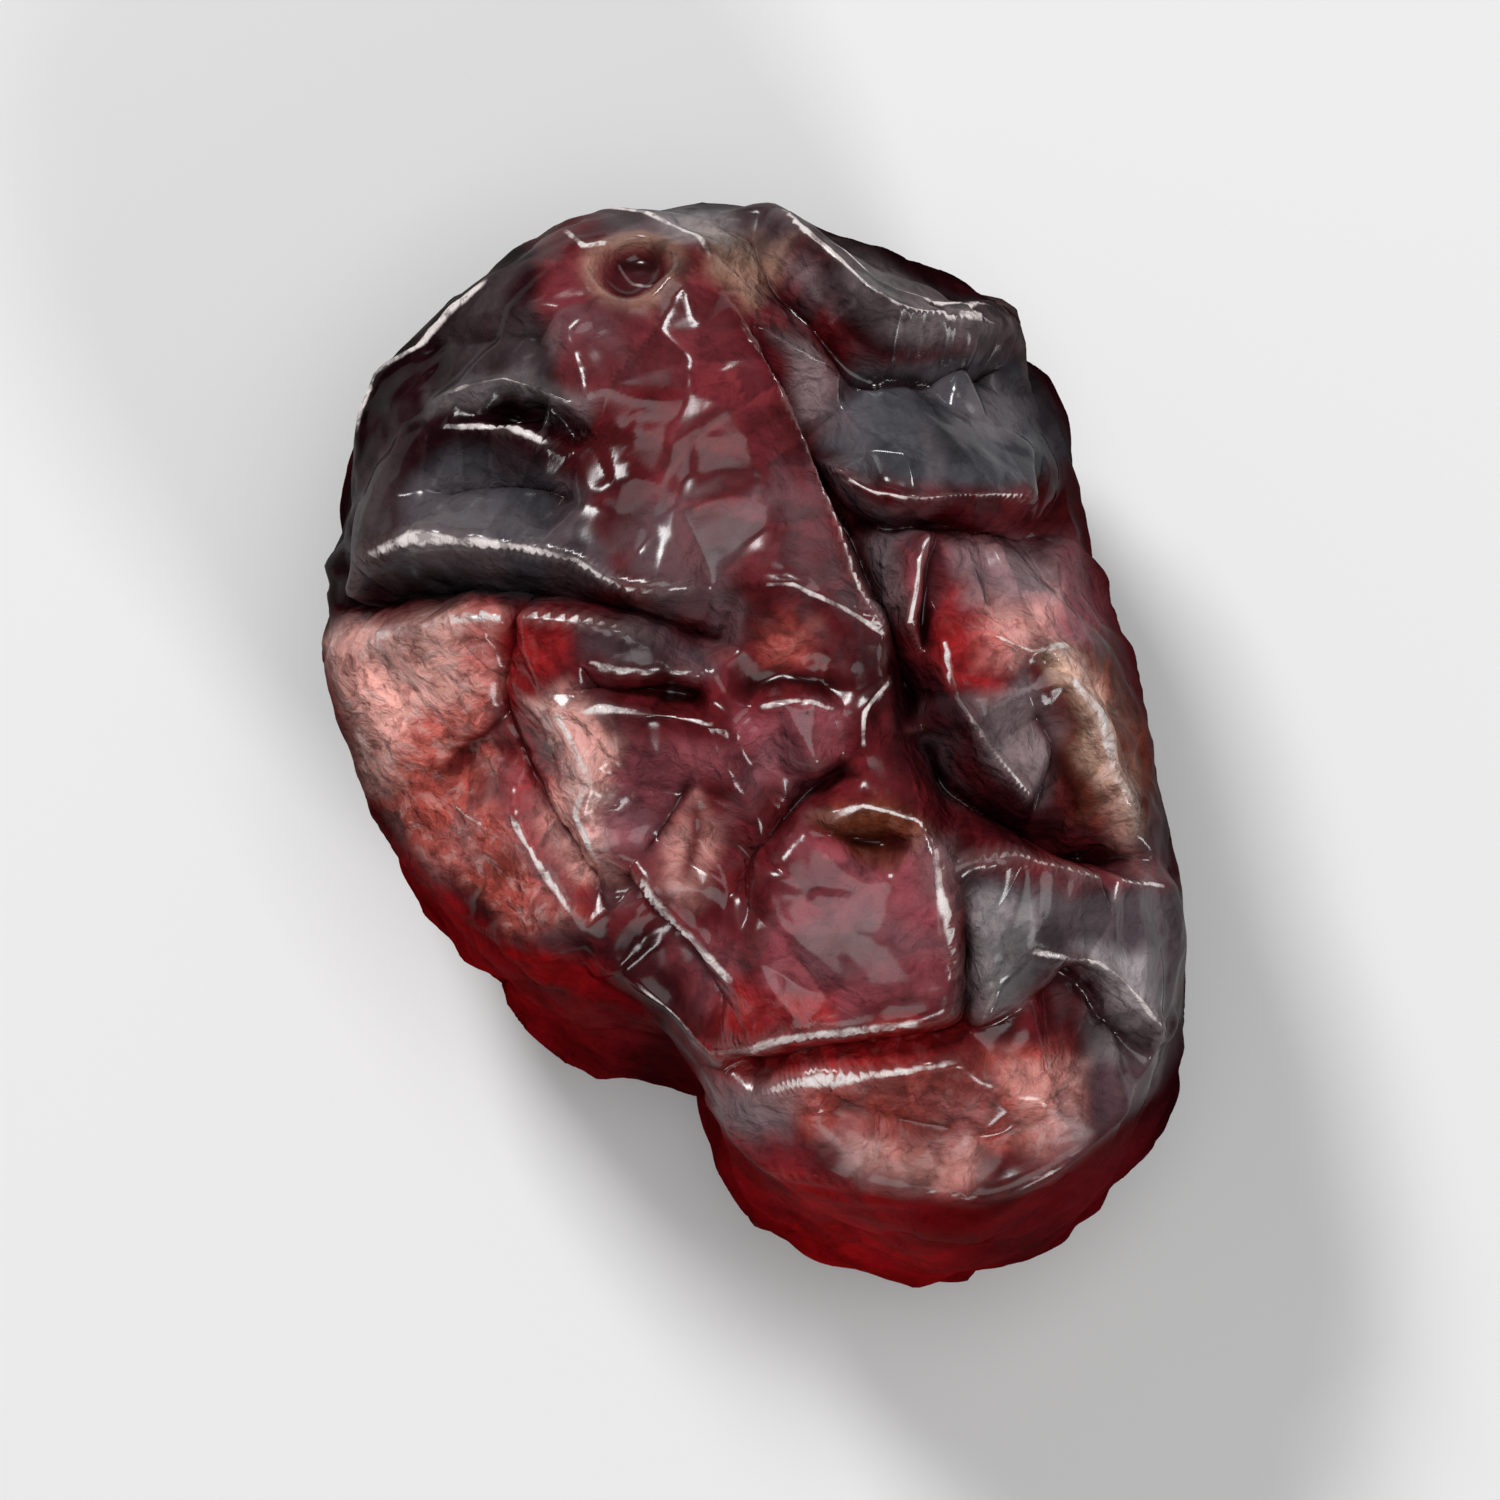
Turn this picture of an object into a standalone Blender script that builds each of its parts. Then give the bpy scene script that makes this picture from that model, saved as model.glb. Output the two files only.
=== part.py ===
"""A dried cranberry: one shrivelled berry lying on its side, about 15 mm long.

The berry is one solid. A smooth squashed berry is laid out first, as an icosphere bent to a plan outline
and a flattened height. Named folds are then drawn on it: valleys that the skin has sunk into and ridges
that hold it up. The skin is stretched over them, so that it lies in taut facets between sharp creases.
Sizes are in millimetres here and become metres when the mesh is made. Seen from above, X runs to the
right and Y runs up; the berry stands on Z = 0.
"""

import math
import random

import bmesh
import bpy
import numpy as np
from mathutils import Vector
from mathutils.bvhtree import BVHTree
from mathutils.interpolate import poly_3d_calc

MM = 0.001

# Sizes of the berry
PLAN_RADII = (5.8, 5.35, 6.1, 6.75, 7.45, 7.8, 7.4, 7.0, 5.9, 5.2, 5.1, 5.2, 7.05, 8.2, 7.95, 6.65)
GIRTH_HEIGHT = 3.7
CROWN_HEIGHT = 5.0
FOOT_DEPTH = 4.65
CROWN_SQUARENESS = 2.25
FOOT_SQUARENESS = 2.15
CROWN_LEAN = (0.45, 0.8)
CROWN_DISH = 0.6

# How the skin hangs between its folds
TAUTNESS = 0.42
GIVE_LENGTH = 1.6
FOLD_GRIP = 6.0
FOLD_WIDTH = 0.17
FOLD_TAPER = 0.2
FOLD_STEP = 0.06

# Crumpling of the skin into flat facets: corners, and their greatest height in or out above and below
BIG_FACET_CORNERS = 90
BIG_FACET_HEIGHTS = (0.12, 0.42)
SMALL_FACET_CORNERS = 420
SMALL_FACET_HEIGHTS = (0.1, 0.16)

# The foot is a flat patch with three points, where the berry stands; the skin around it is clear of the floor
FOOT_POINTS = ((0.4, 3.05), (-1.95, -1.6), (2.3, -2.55))
FOOT_SIDES_IN = 0.5
FOOT_CLEARANCE = 0.14
FOOT_SLOPE_WIDTH = 0.4

# Scars of the stem and of the flower
STEM_SCAR = {"plan": (-1.75, 6.55), "radius": 0.62, "depth": 0.4}
FLOWER_SCAR = {"azimuth": -62.0, "elevation": -20.0, "radius": 0.95, "depth": 0.5}

# Clefts that run on from the upper face down the wall: azimuth at the top and bottom, elevations, height
WALL_CLEFTS = (
    ("left cleft", (163, 159), (18, -34), -0.9),
    ("lower left cleft", (255, 248), (28, -46), -1.1),
    ("right cleft", (-13, -16), (24, -36), -0.8),
    ("upper right cleft", (34, 28), (20, -22), -0.6),
    ("crown cleft", (56, 64), (16, -26), -0.4),
)

# Wall and underside folds, which follow a rule
WALL_FOLDS = 19
SMOOTHER_WALL = (183, 335)
UNDERSIDE_FOLDS = 11
SEED = 11

# Finish
SKIN_COLOUR = (0.085, 0.012, 0.016, 1.0)
SKIN_ROUGHNESS = 0.36

SPHERE_SUBDIVISIONS = 7
KEPT_FACES = 0.118
SOLVER_STEPS = 320
SOLVER_GOAL = 1e-6


# Folds of the upper face: name, height from the smooth berry, and the plan points that the fold runs through
UPPER_FOLDS = (
    ("left seam", -1.15, ((-5.9, 1.8), (-4.9, 1.8), (-3.7, 2.05), (-2.3, 1.95), (-0.65, 1.45))),
    ("left lip", 0.22, ((-5.7, 2.4), (-4.65, 2.85), (-3.3, 2.75), (-1.85, 2.15), (-0.65, 2.1))),
    ("middle cleft", -1.5, ((-0.4, 6.0), (0.7, 4.0), (1.7, 1.85), (2.2, 0.3))),
    ("blade ridge", 0.2, ((-0.6, 6.2), (-0.05, 5.3), (0.5, 4.1), (1.25, 1.95))),
    ("right cleft", -1.5, ((2.2, 0.3), (2.5, -0.6), (3.45, -1.0), (4.45, -1.5), (5.4, -1.45))),
    ("right cleft lip", 0.1, ((2.9, -1.55), (4.2, -1.95), (5.7, -2.0))),
    ("pit wall", -0.15, ((2.6, 1.9), (2.65, 0.8), (3.25, -0.1), (4.0, -0.9))),
    ("upper groove", -1.05, ((1.0, 3.45), (1.8, 3.05), (2.65, 3.2), (4.5, 2.9))),
    ("upper groove lip", -0.1, ((0.75, 4.0), (1.6, 3.6), (3.05, 3.65), (4.0, 3.65))),
    ("crown groove", -0.75, ((0.0, 6.9), (1.4, 5.2), (2.4, 5.25), (3.85, 5.3))),
    ("crown lip", 0.3, ((-0.15, 7.2), (0.8, 6.55), (1.7, 5.85), (3.4, 5.6))),
    ("shoulder ridge", 0.2, ((-4.6, 4.3), (-3.4, 4.75), (-2.2, 4.4))),
    ("shoulder hollow", -0.55, ((-4.6, 3.5), (-3.2, 3.6), (-2.4, 3.3))),
    ("red crease", -0.6, ((-3.3, 2.0), (-3.7, 0.8), (-3.4, -0.6), (-2.25, -2.3))),
    ("left rim", 0.2, ((-5.7, 1.3), (-5.25, 0.0), (-4.8, -1.0), (-3.4, -2.3), (-1.4, -3.35))),
    ("slit", -0.5, ((-2.6, 0.7), (-1.7, 0.72), (-0.5, 0.6))),
    ("slit lip", -0.05, ((-2.7, 0.35), (-1.45, 0.3), (-0.2, 0.2))),
    ("small ridge", -0.15, ((0.45, 2.2), (1.2, 1.6), (1.65, 0.9))),
    ("diagonal crease", -0.75, ((1.15, -0.1), (0.25, -1.0), (-0.5, -2.0))),
    ("lower facet edge", -0.05, ((0.3, -1.5), (1.5, -0.75), (2.45, -1.35), (2.4, -2.6), (2.6, -3.4))),
    ("lower left groove", -0.55, ((-1.75, -2.1), (-0.65, -3.55))),
    ("lower rim", 0.15, ((-1.4, -3.35), (-0.6, -4.0), (1.3, -3.6), (2.8, -3.45))),
    ("red slit", -0.7, ((-0.7, -4.35), (0.5, -4.15), (1.6, -3.95), (2.9, -3.75), (2.75, -1.8))),
    ("bottom rim", 0.4, ((-0.5, -4.85), (1.1, -5.6), (2.85, -5.85), (4.4, -5.15), (5.1, -4.5))),
    ("hook", -0.7, ((3.65, -3.4), (4.2, -3.05), (4.75, -3.6), (5.4, -4.2))),
    ("hook lip", 0.15, ((3.2, -2.6), (4.3, -2.65), (5.3, -3.4))),
)


def clear_scene():
    """Leaves an empty scene to build in."""
    for found in list(bpy.data.objects):
        bpy.data.objects.remove(found, do_unlink=True)


def curve_through(points, step):
    """Points every step along a smooth curve through the given points."""
    points = np.asarray(points, float)
    padded = np.vstack([2 * points[0] - points[1], points, 2 * points[-1] - points[-2]])
    placed = []
    for before, start, end, after in zip(padded, padded[1:], padded[2:], padded[3:]):
        count = max(2, math.ceil(np.linalg.norm(end - start) / step))
        t = np.arange(count)[:, None] / count
        placed.append(
            0.5
            * (
                2 * start
                + (end - before) * t
                + (2 * before - 5 * start + 4 * end - after) * t**2
                + (3 * start - before - 3 * end + after) * t**3
            )
        )
    return np.vstack([*placed, points[-1:]])


def plan_radius(azimuth):
    """The outline's distance from the middle, seen from above, at each azimuth in radians."""
    count = len(PLAN_RADII)
    place = (azimuth / (2 * math.pi) * count) % count
    first = np.floor(place).astype(int)
    t = place - first
    before, start, end, after = (np.take(PLAN_RADII, first + k, mode="wrap") for k in (-1, 0, 1, 2))
    return 0.5 * (
        2 * start
        + (end - before) * t
        + (2 * before - 5 * start + 4 * end - after) * t**2
        + (3 * start - before - 3 * end + after) * t**3
    )


def smooth_berry(directions):
    """The squashed berry without folds: where each direction of the unit sphere lies on it."""
    azimuth = np.arctan2(directions[:, 1], directions[:, 0])
    sine = np.clip(directions[:, 2], -1, 1)
    cosine = np.sqrt(1 - sine**2)
    upper = sine > 0
    squareness = np.where(upper, CROWN_SQUARENESS, FOOT_SQUARENESS)
    height = np.where(upper, CROWN_HEIGHT, FOOT_DEPTH)
    reach = cosine ** (2 / squareness)
    rise = np.sign(sine) * np.abs(sine) ** (2 / squareness) * height
    rise -= np.where(upper, CROWN_DISH * (1 - reach**2) ** 2, 0)
    lean = np.clip(rise / CROWN_HEIGHT, 0, 1)
    radius = plan_radius(azimuth) * reach
    return np.column_stack(
        [
            radius * np.cos(azimuth) + lean * CROWN_LEAN[0],
            radius * np.sin(azimuth) + lean * CROWN_LEAN[1],
            rise + GIRTH_HEIGHT,
        ]
    )


def sphere_of_skin():
    """A unit icosphere as points and edges, with the mesh that it came from."""
    bpy.ops.mesh.primitive_ico_sphere_add(subdivisions=SPHERE_SUBDIVISIONS, radius=1.0)
    berry = bpy.context.object
    points = np.empty(len(berry.data.vertices) * 3)
    berry.data.vertices.foreach_get("co", points)
    points = points.reshape(-1, 3)
    edges = np.empty(len(berry.data.edges) * 2, int)
    berry.data.edges.foreach_get("vertices", edges)
    return berry, points / np.linalg.norm(points, axis=1)[:, None], edges.reshape(-1, 2)


def normals_of(berry, points):
    """Outward normals of the berry's mesh with its vertices at these points."""
    berry.data.vertices.foreach_set("co", points.ravel())
    berry.data.update()
    normals = np.empty(len(points) * 3)
    berry.data.vertex_normals.foreach_get("vector", normals)
    return normals.reshape(-1, 3)


def on_upper_face(plan, smooth, directions):
    """The skin's points straight above the given plan points."""
    upper = smooth[directions[:, 2] > 0.02]
    apart = ((upper[None, :, :2] - plan[:, None, :]) ** 2).sum(axis=2)
    nearest = np.argsort(apart, axis=1)[:, :6]
    weight = 1 / (np.take_along_axis(apart, nearest, axis=1) + 0.001)
    rise = (upper[nearest, 2] * weight).sum(axis=1) / weight.sum(axis=1)
    return np.column_stack([plan, rise])


def at_angles(angles):
    """The skin's points at the given azimuths and elevations in degrees, seen from the middle."""
    azimuth, elevation = np.radians(angles).T
    rays = np.column_stack(
        [np.cos(azimuth) * np.cos(elevation), np.sin(azimuth) * np.cos(elevation), np.sin(elevation)]
    )
    return smooth_berry(rays)


def wall_folds():
    """Folds down the wall, in turn a valley and a ridge, and folds that fan out over the underside."""
    draw = random.Random(SEED)
    folds = []
    for _, (top_azimuth, bottom_azimuth), (top, bottom), height in WALL_CLEFTS:
        folds.append((height, ((top_azimuth, top), (bottom_azimuth, bottom))))
    for index in range(WALL_FOLDS):
        azimuth = 360 * (index + draw.uniform(-0.3, 0.3)) / WALL_FOLDS
        swing = draw.uniform(-20, 20)
        top, bottom = draw.uniform(2, 16), draw.uniform(-50, -30)
        angles = ((azimuth, top), (azimuth + 0.2 * swing, 0.5 * (top + bottom)), (azimuth + swing, bottom))
        deepest = 0.65 if SMOOTHER_WALL[0] < azimuth < SMOOTHER_WALL[1] else 1.25
        height = -draw.uniform(0.1, 0.3) if index % 2 else -draw.uniform(0.7, 1) * deepest
        folds.append((height, angles))
    for index in range(UNDERSIDE_FOLDS):
        azimuth = 360 * (index + draw.uniform(-0.3, 0.3)) / UNDERSIDE_FOLDS
        swing = draw.uniform(-25, 25)
        inner, outer = draw.uniform(-74, -64), draw.uniform(-40, -30)
        angles = ((azimuth, inner), (azimuth + 0.4 * swing, 0.5 * (inner + outer)), (azimuth + swing, outer))
        folds.append((-draw.uniform(0.7, 1.1), angles))
    return folds


def all_folds(smooth, directions):
    """Every fold as its height and its points on the skin."""
    placed = []
    for _, height, plan in UPPER_FOLDS:
        line = curve_through(plan, FOLD_STEP)
        placed.append((height, on_upper_face(line, smooth, directions)))
    for height, angles in wall_folds():
        line = curve_through(angles, 1.2)
        placed.append((height, at_angles(line)))
    return placed


def stretch_skin(smooth, normals, edges, folds):
    """The skin stretched over the folds: each point settles between its neighbours, the smooth berry below
    it and the folds that grip it."""
    grip = np.zeros(len(smooth))
    pull = np.zeros(len(smooth))
    for height, line in folds:
        apart = np.full(len(smooth), np.inf)
        share = np.zeros(len(smooth))
        for index, point in enumerate(line):
            distance = ((smooth - point) ** 2).sum(axis=1)
            nearer = distance < apart
            apart[nearer] = distance[nearer]
            share[nearer] = index / (len(line) - 1)
        taper = np.clip(np.minimum(share, 1 - share) / FOLD_TAPER, 0.02, 1)
        hold = FOLD_GRIP * taper**2 * np.exp(-apart / FOLD_WIDTH**2)
        grip += hold
        pull += hold * height * (0.4 + 0.6 * taper)
    held_at = smooth + normals * (pull / np.maximum(grip, 1e-12))[:, None]
    spacing = np.linalg.norm(smooth[edges[:, 0]] - smooth[edges[:, 1]], axis=1).mean()
    base_grip = 1.5 * (spacing / GIVE_LENGTH) ** 2
    return solve_balance(smooth, held_at, grip, base_grip, edges)


def neighbour_pull(points, edges):
    """The sum, over each point's neighbours, of the way from the neighbour to the point."""
    apart = points[edges[:, 0]] - points[edges[:, 1]]
    pulled = np.empty_like(points)
    for axis in range(3):
        pulled[:, axis] = np.bincount(edges[:, 0], apart[:, axis], len(points))
        pulled[:, axis] -= np.bincount(edges[:, 1], apart[:, axis], len(points))
    return pulled


def solve_balance(smooth, held_at, grip, base_grip, edges):
    """Conjugate gradients on the balance of the skin's pulls."""
    valence = np.bincount(edges.ravel(), minlength=len(smooth))
    own = (grip + base_grip)[:, None]
    scale = 1 / (own + valence[:, None])
    wanted = (1 - TAUTNESS) * neighbour_pull(smooth, edges) + base_grip * smooth + grip[:, None] * held_at
    skin = smooth.copy()
    rest = wanted - neighbour_pull(skin, edges) - own * skin
    way = scale * rest
    size = (rest * way).sum(axis=0)
    goal = size * SOLVER_GOAL**2
    for _ in range(SOLVER_STEPS):
        moved = neighbour_pull(way, edges) + own * way
        step = size / (way * moved).sum(axis=0)
        skin += step * way
        rest -= step * moved
        scaled = scale * rest
        new_size = (rest * scaled).sum(axis=0)
        if (new_size < goal).all():
            break
        way = scaled + new_size / size * way
        size = new_size
    return skin


def facets(directions, corners, heights, seed):
    """Heights of a crumpled skin: flat between corners that lie at random heights, in or out, around the
    unit sphere. The greatest height changes from the first value at the top to the second at the bottom."""
    draw = random.Random(seed)
    mesh = bmesh.new()
    chosen = []
    for _ in range(corners):
        tries = [Vector([draw.gauss(0, 1) for _ in range(3)]).normalized() for _ in range(8)]
        chosen.append(max(tries, key=lambda way: min([(way - other).length for other in chosen], default=0)))
        mesh.verts.new(chosen[-1])
    bmesh.ops.convex_hull(mesh, input=mesh.verts)
    mesh.verts.index_update()
    above, below = heights
    height = [
        draw.uniform(-1, 1) * (above + (below - above) * (0.5 - 0.5 * vert.co.z)) for vert in mesh.verts
    ]
    tree = BVHTree.FromBMesh(mesh)
    faces = [([vert.co for vert in face.verts], [height[vert.index] for vert in face.verts]) for face in mesh.faces]
    lift = np.zeros(len(directions))
    for index, direction in enumerate(directions):
        place, _, face, _ = tree.ray_cast(Vector(direction) * 2, -Vector(direction))
        points, values = faces[face]
        lift[index] = sum(share * value for share, value in zip(poly_3d_calc(points, place), values))
    mesh.free()
    return lift


def eased(points, edges, rounds):
    """The points with each one moved half way to the middle of its neighbours, several times over."""
    valence = np.bincount(edges.ravel(), minlength=len(points))[:, None]
    for _ in range(rounds):
        points = points - 0.5 * neighbour_pull(points, edges) / valence
    return points


def sink_scar(skin, normals, middle, radius, depth):
    """A round scar: a sunken disc in a raised ring."""
    apart = np.linalg.norm(skin - middle, axis=1) / radius
    ring = np.exp(-(((apart - 1) / 0.28) ** 2))
    bowl = np.exp(-((apart / 0.8) ** 4))
    return skin + normals * (0.3 * depth * ring - depth * bowl)[:, None]


def set_on_foot(skin):
    """The skin raised to the floor, or just clear of it outside the foot, with a point of it at each foot point."""
    corners = np.array(FOOT_POINTS)
    outside = np.full(len(skin), -np.inf)
    for start, end in zip(corners, np.roll(corners, -1, axis=0)):
        length = np.linalg.norm(end - start)
        along = (end - start) / length
        share = np.clip((skin[:, :2] - start) @ along / length, 0, 1)
        past_side = (skin[:, :2] - start) @ np.array([along[1], -along[0]])
        outside = np.maximum(outside, past_side + FOOT_SIDES_IN * 4 * share * (1 - share))
    lowest = FOOT_CLEARANCE * np.clip(outside / FOOT_SLOPE_WIDTH, 0, 1)
    rise = np.where((outside <= 0) & (skin[:, 2] < 0.02), 0, np.maximum(skin[:, 2], lowest))
    skin = np.column_stack([skin[:, :2], rise])
    for corner in corners:
        place = np.array([*corner, 0.0])
        skin[np.linalg.norm(skin - place, axis=1).argmin()] = place
    return skin


def thin_out(berry):
    """Fewer faces for the berry's mesh, with its foot set again."""
    fewer = berry.modifiers.new("fewer faces", "DECIMATE")
    fewer.ratio = KEPT_FACES
    thinned = bpy.data.meshes.new_from_object(berry.evaluated_get(bpy.context.evaluated_depsgraph_get()))
    berry.modifiers.clear()
    berry.data = thinned
    points = np.empty(len(thinned.vertices) * 3)
    thinned.vertices.foreach_get("co", points)
    points = set_on_foot(points.reshape(-1, 3) / MM) * MM
    thinned.vertices.foreach_set("co", points.ravel())
    thinned.update()
    thinned.shade_smooth()


def skin_material():
    """Dark red skin, half glossy."""
    material = bpy.data.materials.new("cranberry_skin")
    material.use_nodes = True
    shader = material.node_tree.nodes["Principled BSDF"]
    shader.inputs["Base Color"].default_value = SKIN_COLOUR
    shader.inputs["Roughness"].default_value = SKIN_ROUGHNESS
    shader.inputs["Metallic"].default_value = 0.0
    return material


def build_berry():
    """The whole berry as one object, on its flat foot."""
    berry, directions, edges = sphere_of_skin()
    berry.name = "cranberry"
    smooth = smooth_berry(directions)
    normals = normals_of(berry, smooth)
    skin = stretch_skin(smooth, normals, edges, all_folds(smooth, directions))
    lift = facets(directions, BIG_FACET_CORNERS, BIG_FACET_HEIGHTS, SEED)
    lift += facets(directions, SMALL_FACET_CORNERS, SMALL_FACET_HEIGHTS, SEED + 1)
    skin = eased(skin + normals_of(berry, skin) * lift[:, None], edges, 1)
    normals = normals_of(berry, skin)
    stem = on_upper_face(np.array([STEM_SCAR["plan"]]), skin, directions)[0]
    skin = sink_scar(skin, normals, stem, STEM_SCAR["radius"], STEM_SCAR["depth"])
    angles = np.array([[FLOWER_SCAR["azimuth"], FLOWER_SCAR["elevation"]]])
    flower = skin[np.linalg.norm(skin - at_angles(angles), axis=1).argmin()]
    skin = sink_scar(skin, normals, flower, FLOWER_SCAR["radius"], FLOWER_SCAR["depth"])
    berry.data.vertices.foreach_set("co", (set_on_foot(skin) * MM).ravel())
    berry.data.update()
    berry.data.materials.append(skin_material())
    thin_out(berry)
    return berry


def main():
    clear_scene()
    collection = bpy.data.collections.new("dried_cranberry")
    bpy.context.scene.collection.children.link(collection)
    berry = build_berry()
    for holder in list(berry.users_collection):
        holder.objects.unlink(berry)
    collection.objects.link(berry)


main()
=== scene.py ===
"""Looks of a dried cranberry: one shrivelled berry on a pale floor, seen from straight above.

The berry's skin is a fine mesh. A smooth squashed berry is laid out first. Then the skin is stretched over
named folds, laid in facets between them, closed up at its clefts, crumpled and given its two scars. Lengths
in the tables are in millimetres from the middle of the foot, with X to the right and Y up as seen from above.
"""

import math
import random

import bmesh
import bpy
import numpy as np
from bpy.props import FloatProperty, FloatVectorProperty, IntProperty, PointerProperty
from bpy.types import Operator, Panel, PropertyGroup
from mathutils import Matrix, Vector, noise
from mathutils.bvhtree import BVHTree
from mathutils.interpolate import poly_3d_calc
from mathutils.kdtree import KDTree


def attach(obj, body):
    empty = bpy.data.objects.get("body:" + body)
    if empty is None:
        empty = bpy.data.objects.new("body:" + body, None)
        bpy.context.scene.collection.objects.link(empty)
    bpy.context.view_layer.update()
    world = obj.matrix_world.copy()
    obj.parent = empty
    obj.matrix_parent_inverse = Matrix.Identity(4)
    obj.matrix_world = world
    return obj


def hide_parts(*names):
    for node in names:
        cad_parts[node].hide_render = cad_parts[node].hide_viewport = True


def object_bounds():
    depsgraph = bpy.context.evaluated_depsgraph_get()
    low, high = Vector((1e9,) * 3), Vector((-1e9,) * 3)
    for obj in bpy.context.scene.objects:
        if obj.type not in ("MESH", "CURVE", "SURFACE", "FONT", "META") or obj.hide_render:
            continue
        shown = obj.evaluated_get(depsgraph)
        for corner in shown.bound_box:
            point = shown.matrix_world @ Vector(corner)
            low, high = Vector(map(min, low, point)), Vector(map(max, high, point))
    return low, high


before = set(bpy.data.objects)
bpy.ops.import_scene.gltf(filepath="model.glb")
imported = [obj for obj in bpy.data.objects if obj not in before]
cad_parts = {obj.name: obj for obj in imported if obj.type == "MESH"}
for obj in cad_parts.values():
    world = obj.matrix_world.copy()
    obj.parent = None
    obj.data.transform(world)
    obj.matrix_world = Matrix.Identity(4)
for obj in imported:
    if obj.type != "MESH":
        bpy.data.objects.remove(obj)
CAD_LOW, CAD_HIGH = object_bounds()
CAD_SIZE = CAD_HIGH - CAD_LOW

bl_info = {
    "name": "Dried Cranberry",
    "version": (1, 0, 0),
    "blender": (4, 5, 0),
    "location": "View3D > Sidebar > Cranberry",
    "description": "Builds a shrivelled dried cranberry with its stem scar and flower scar",
    "category": "Object",
}

MM = 0.001
SEED = 11

# The smooth berry, as in the part's source
PLAN_RADII = (5.8, 5.35, 6.1, 6.75, 7.45, 7.8, 7.4, 7.0, 5.9, 5.2, 5.1, 5.2, 7.05, 8.2, 7.95, 6.65)
GIRTH_HEIGHT = 3.7
CROWN_HEIGHT = 5.0
FOOT_DEPTH = 4.65
CROWN_SQUARENESS = 2.25
FOOT_SQUARENESS = 2.15
CROWN_LEAN = (0.45, 0.8)
CROWN_DISH = 0.6

# The scars: their places, sizes and depths
STEM_SCAR = {"plan": (-1.75, 6.55), "radius": 0.62, "depth": 0.4}
FLOWER_SCAR = {"azimuth": -62.0, "elevation": -20.0, "radius": 0.95, "depth": 0.5}
# How uneven a scar is: the noise's scale per mm, and how far it moves the scar's edge in radii
SCAR_UNEVENNESS = (1.3, 0.35)
# A scar's parts: widths in radii of its ring, its bowl, its calm middle and the patch that it faces out of,
# then the ring's share of the depth and the rounds of easing that calm its middle
RING_WIDTH = 0.22
BOWL_WIDTH = 0.85
CALM_WIDTH = 1.1
FACING_WIDTH = 1.2
RING_SHARE = 0.15
CALMING_ROUNDS = 30

# How the skin hangs between its folds
GIVE_LENGTH = 1.6
BASE_GRIP = 1.5
FOLD_GRIP = 6.0
FOLD_REACH = 4
FOLD_TAPER = 0.2
LEAST_TAPER = 0.02
END_DEPTH = 0.4
FOLD_STEP = 0.05
ANGLE_STEP = 0.8
ROUNDED_BENDS = 0.35
FINER_TOP = 0.4
SOLVER_STEPS = 400
SOLVER_GOAL = 1e-6
# The nearest points that a place on the skin is read from, and the lowest direction of the upper face
PLANE_POINTS = 9
CORNER_POINTS = 6
LOWEST_UPPER = 0.02

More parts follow.
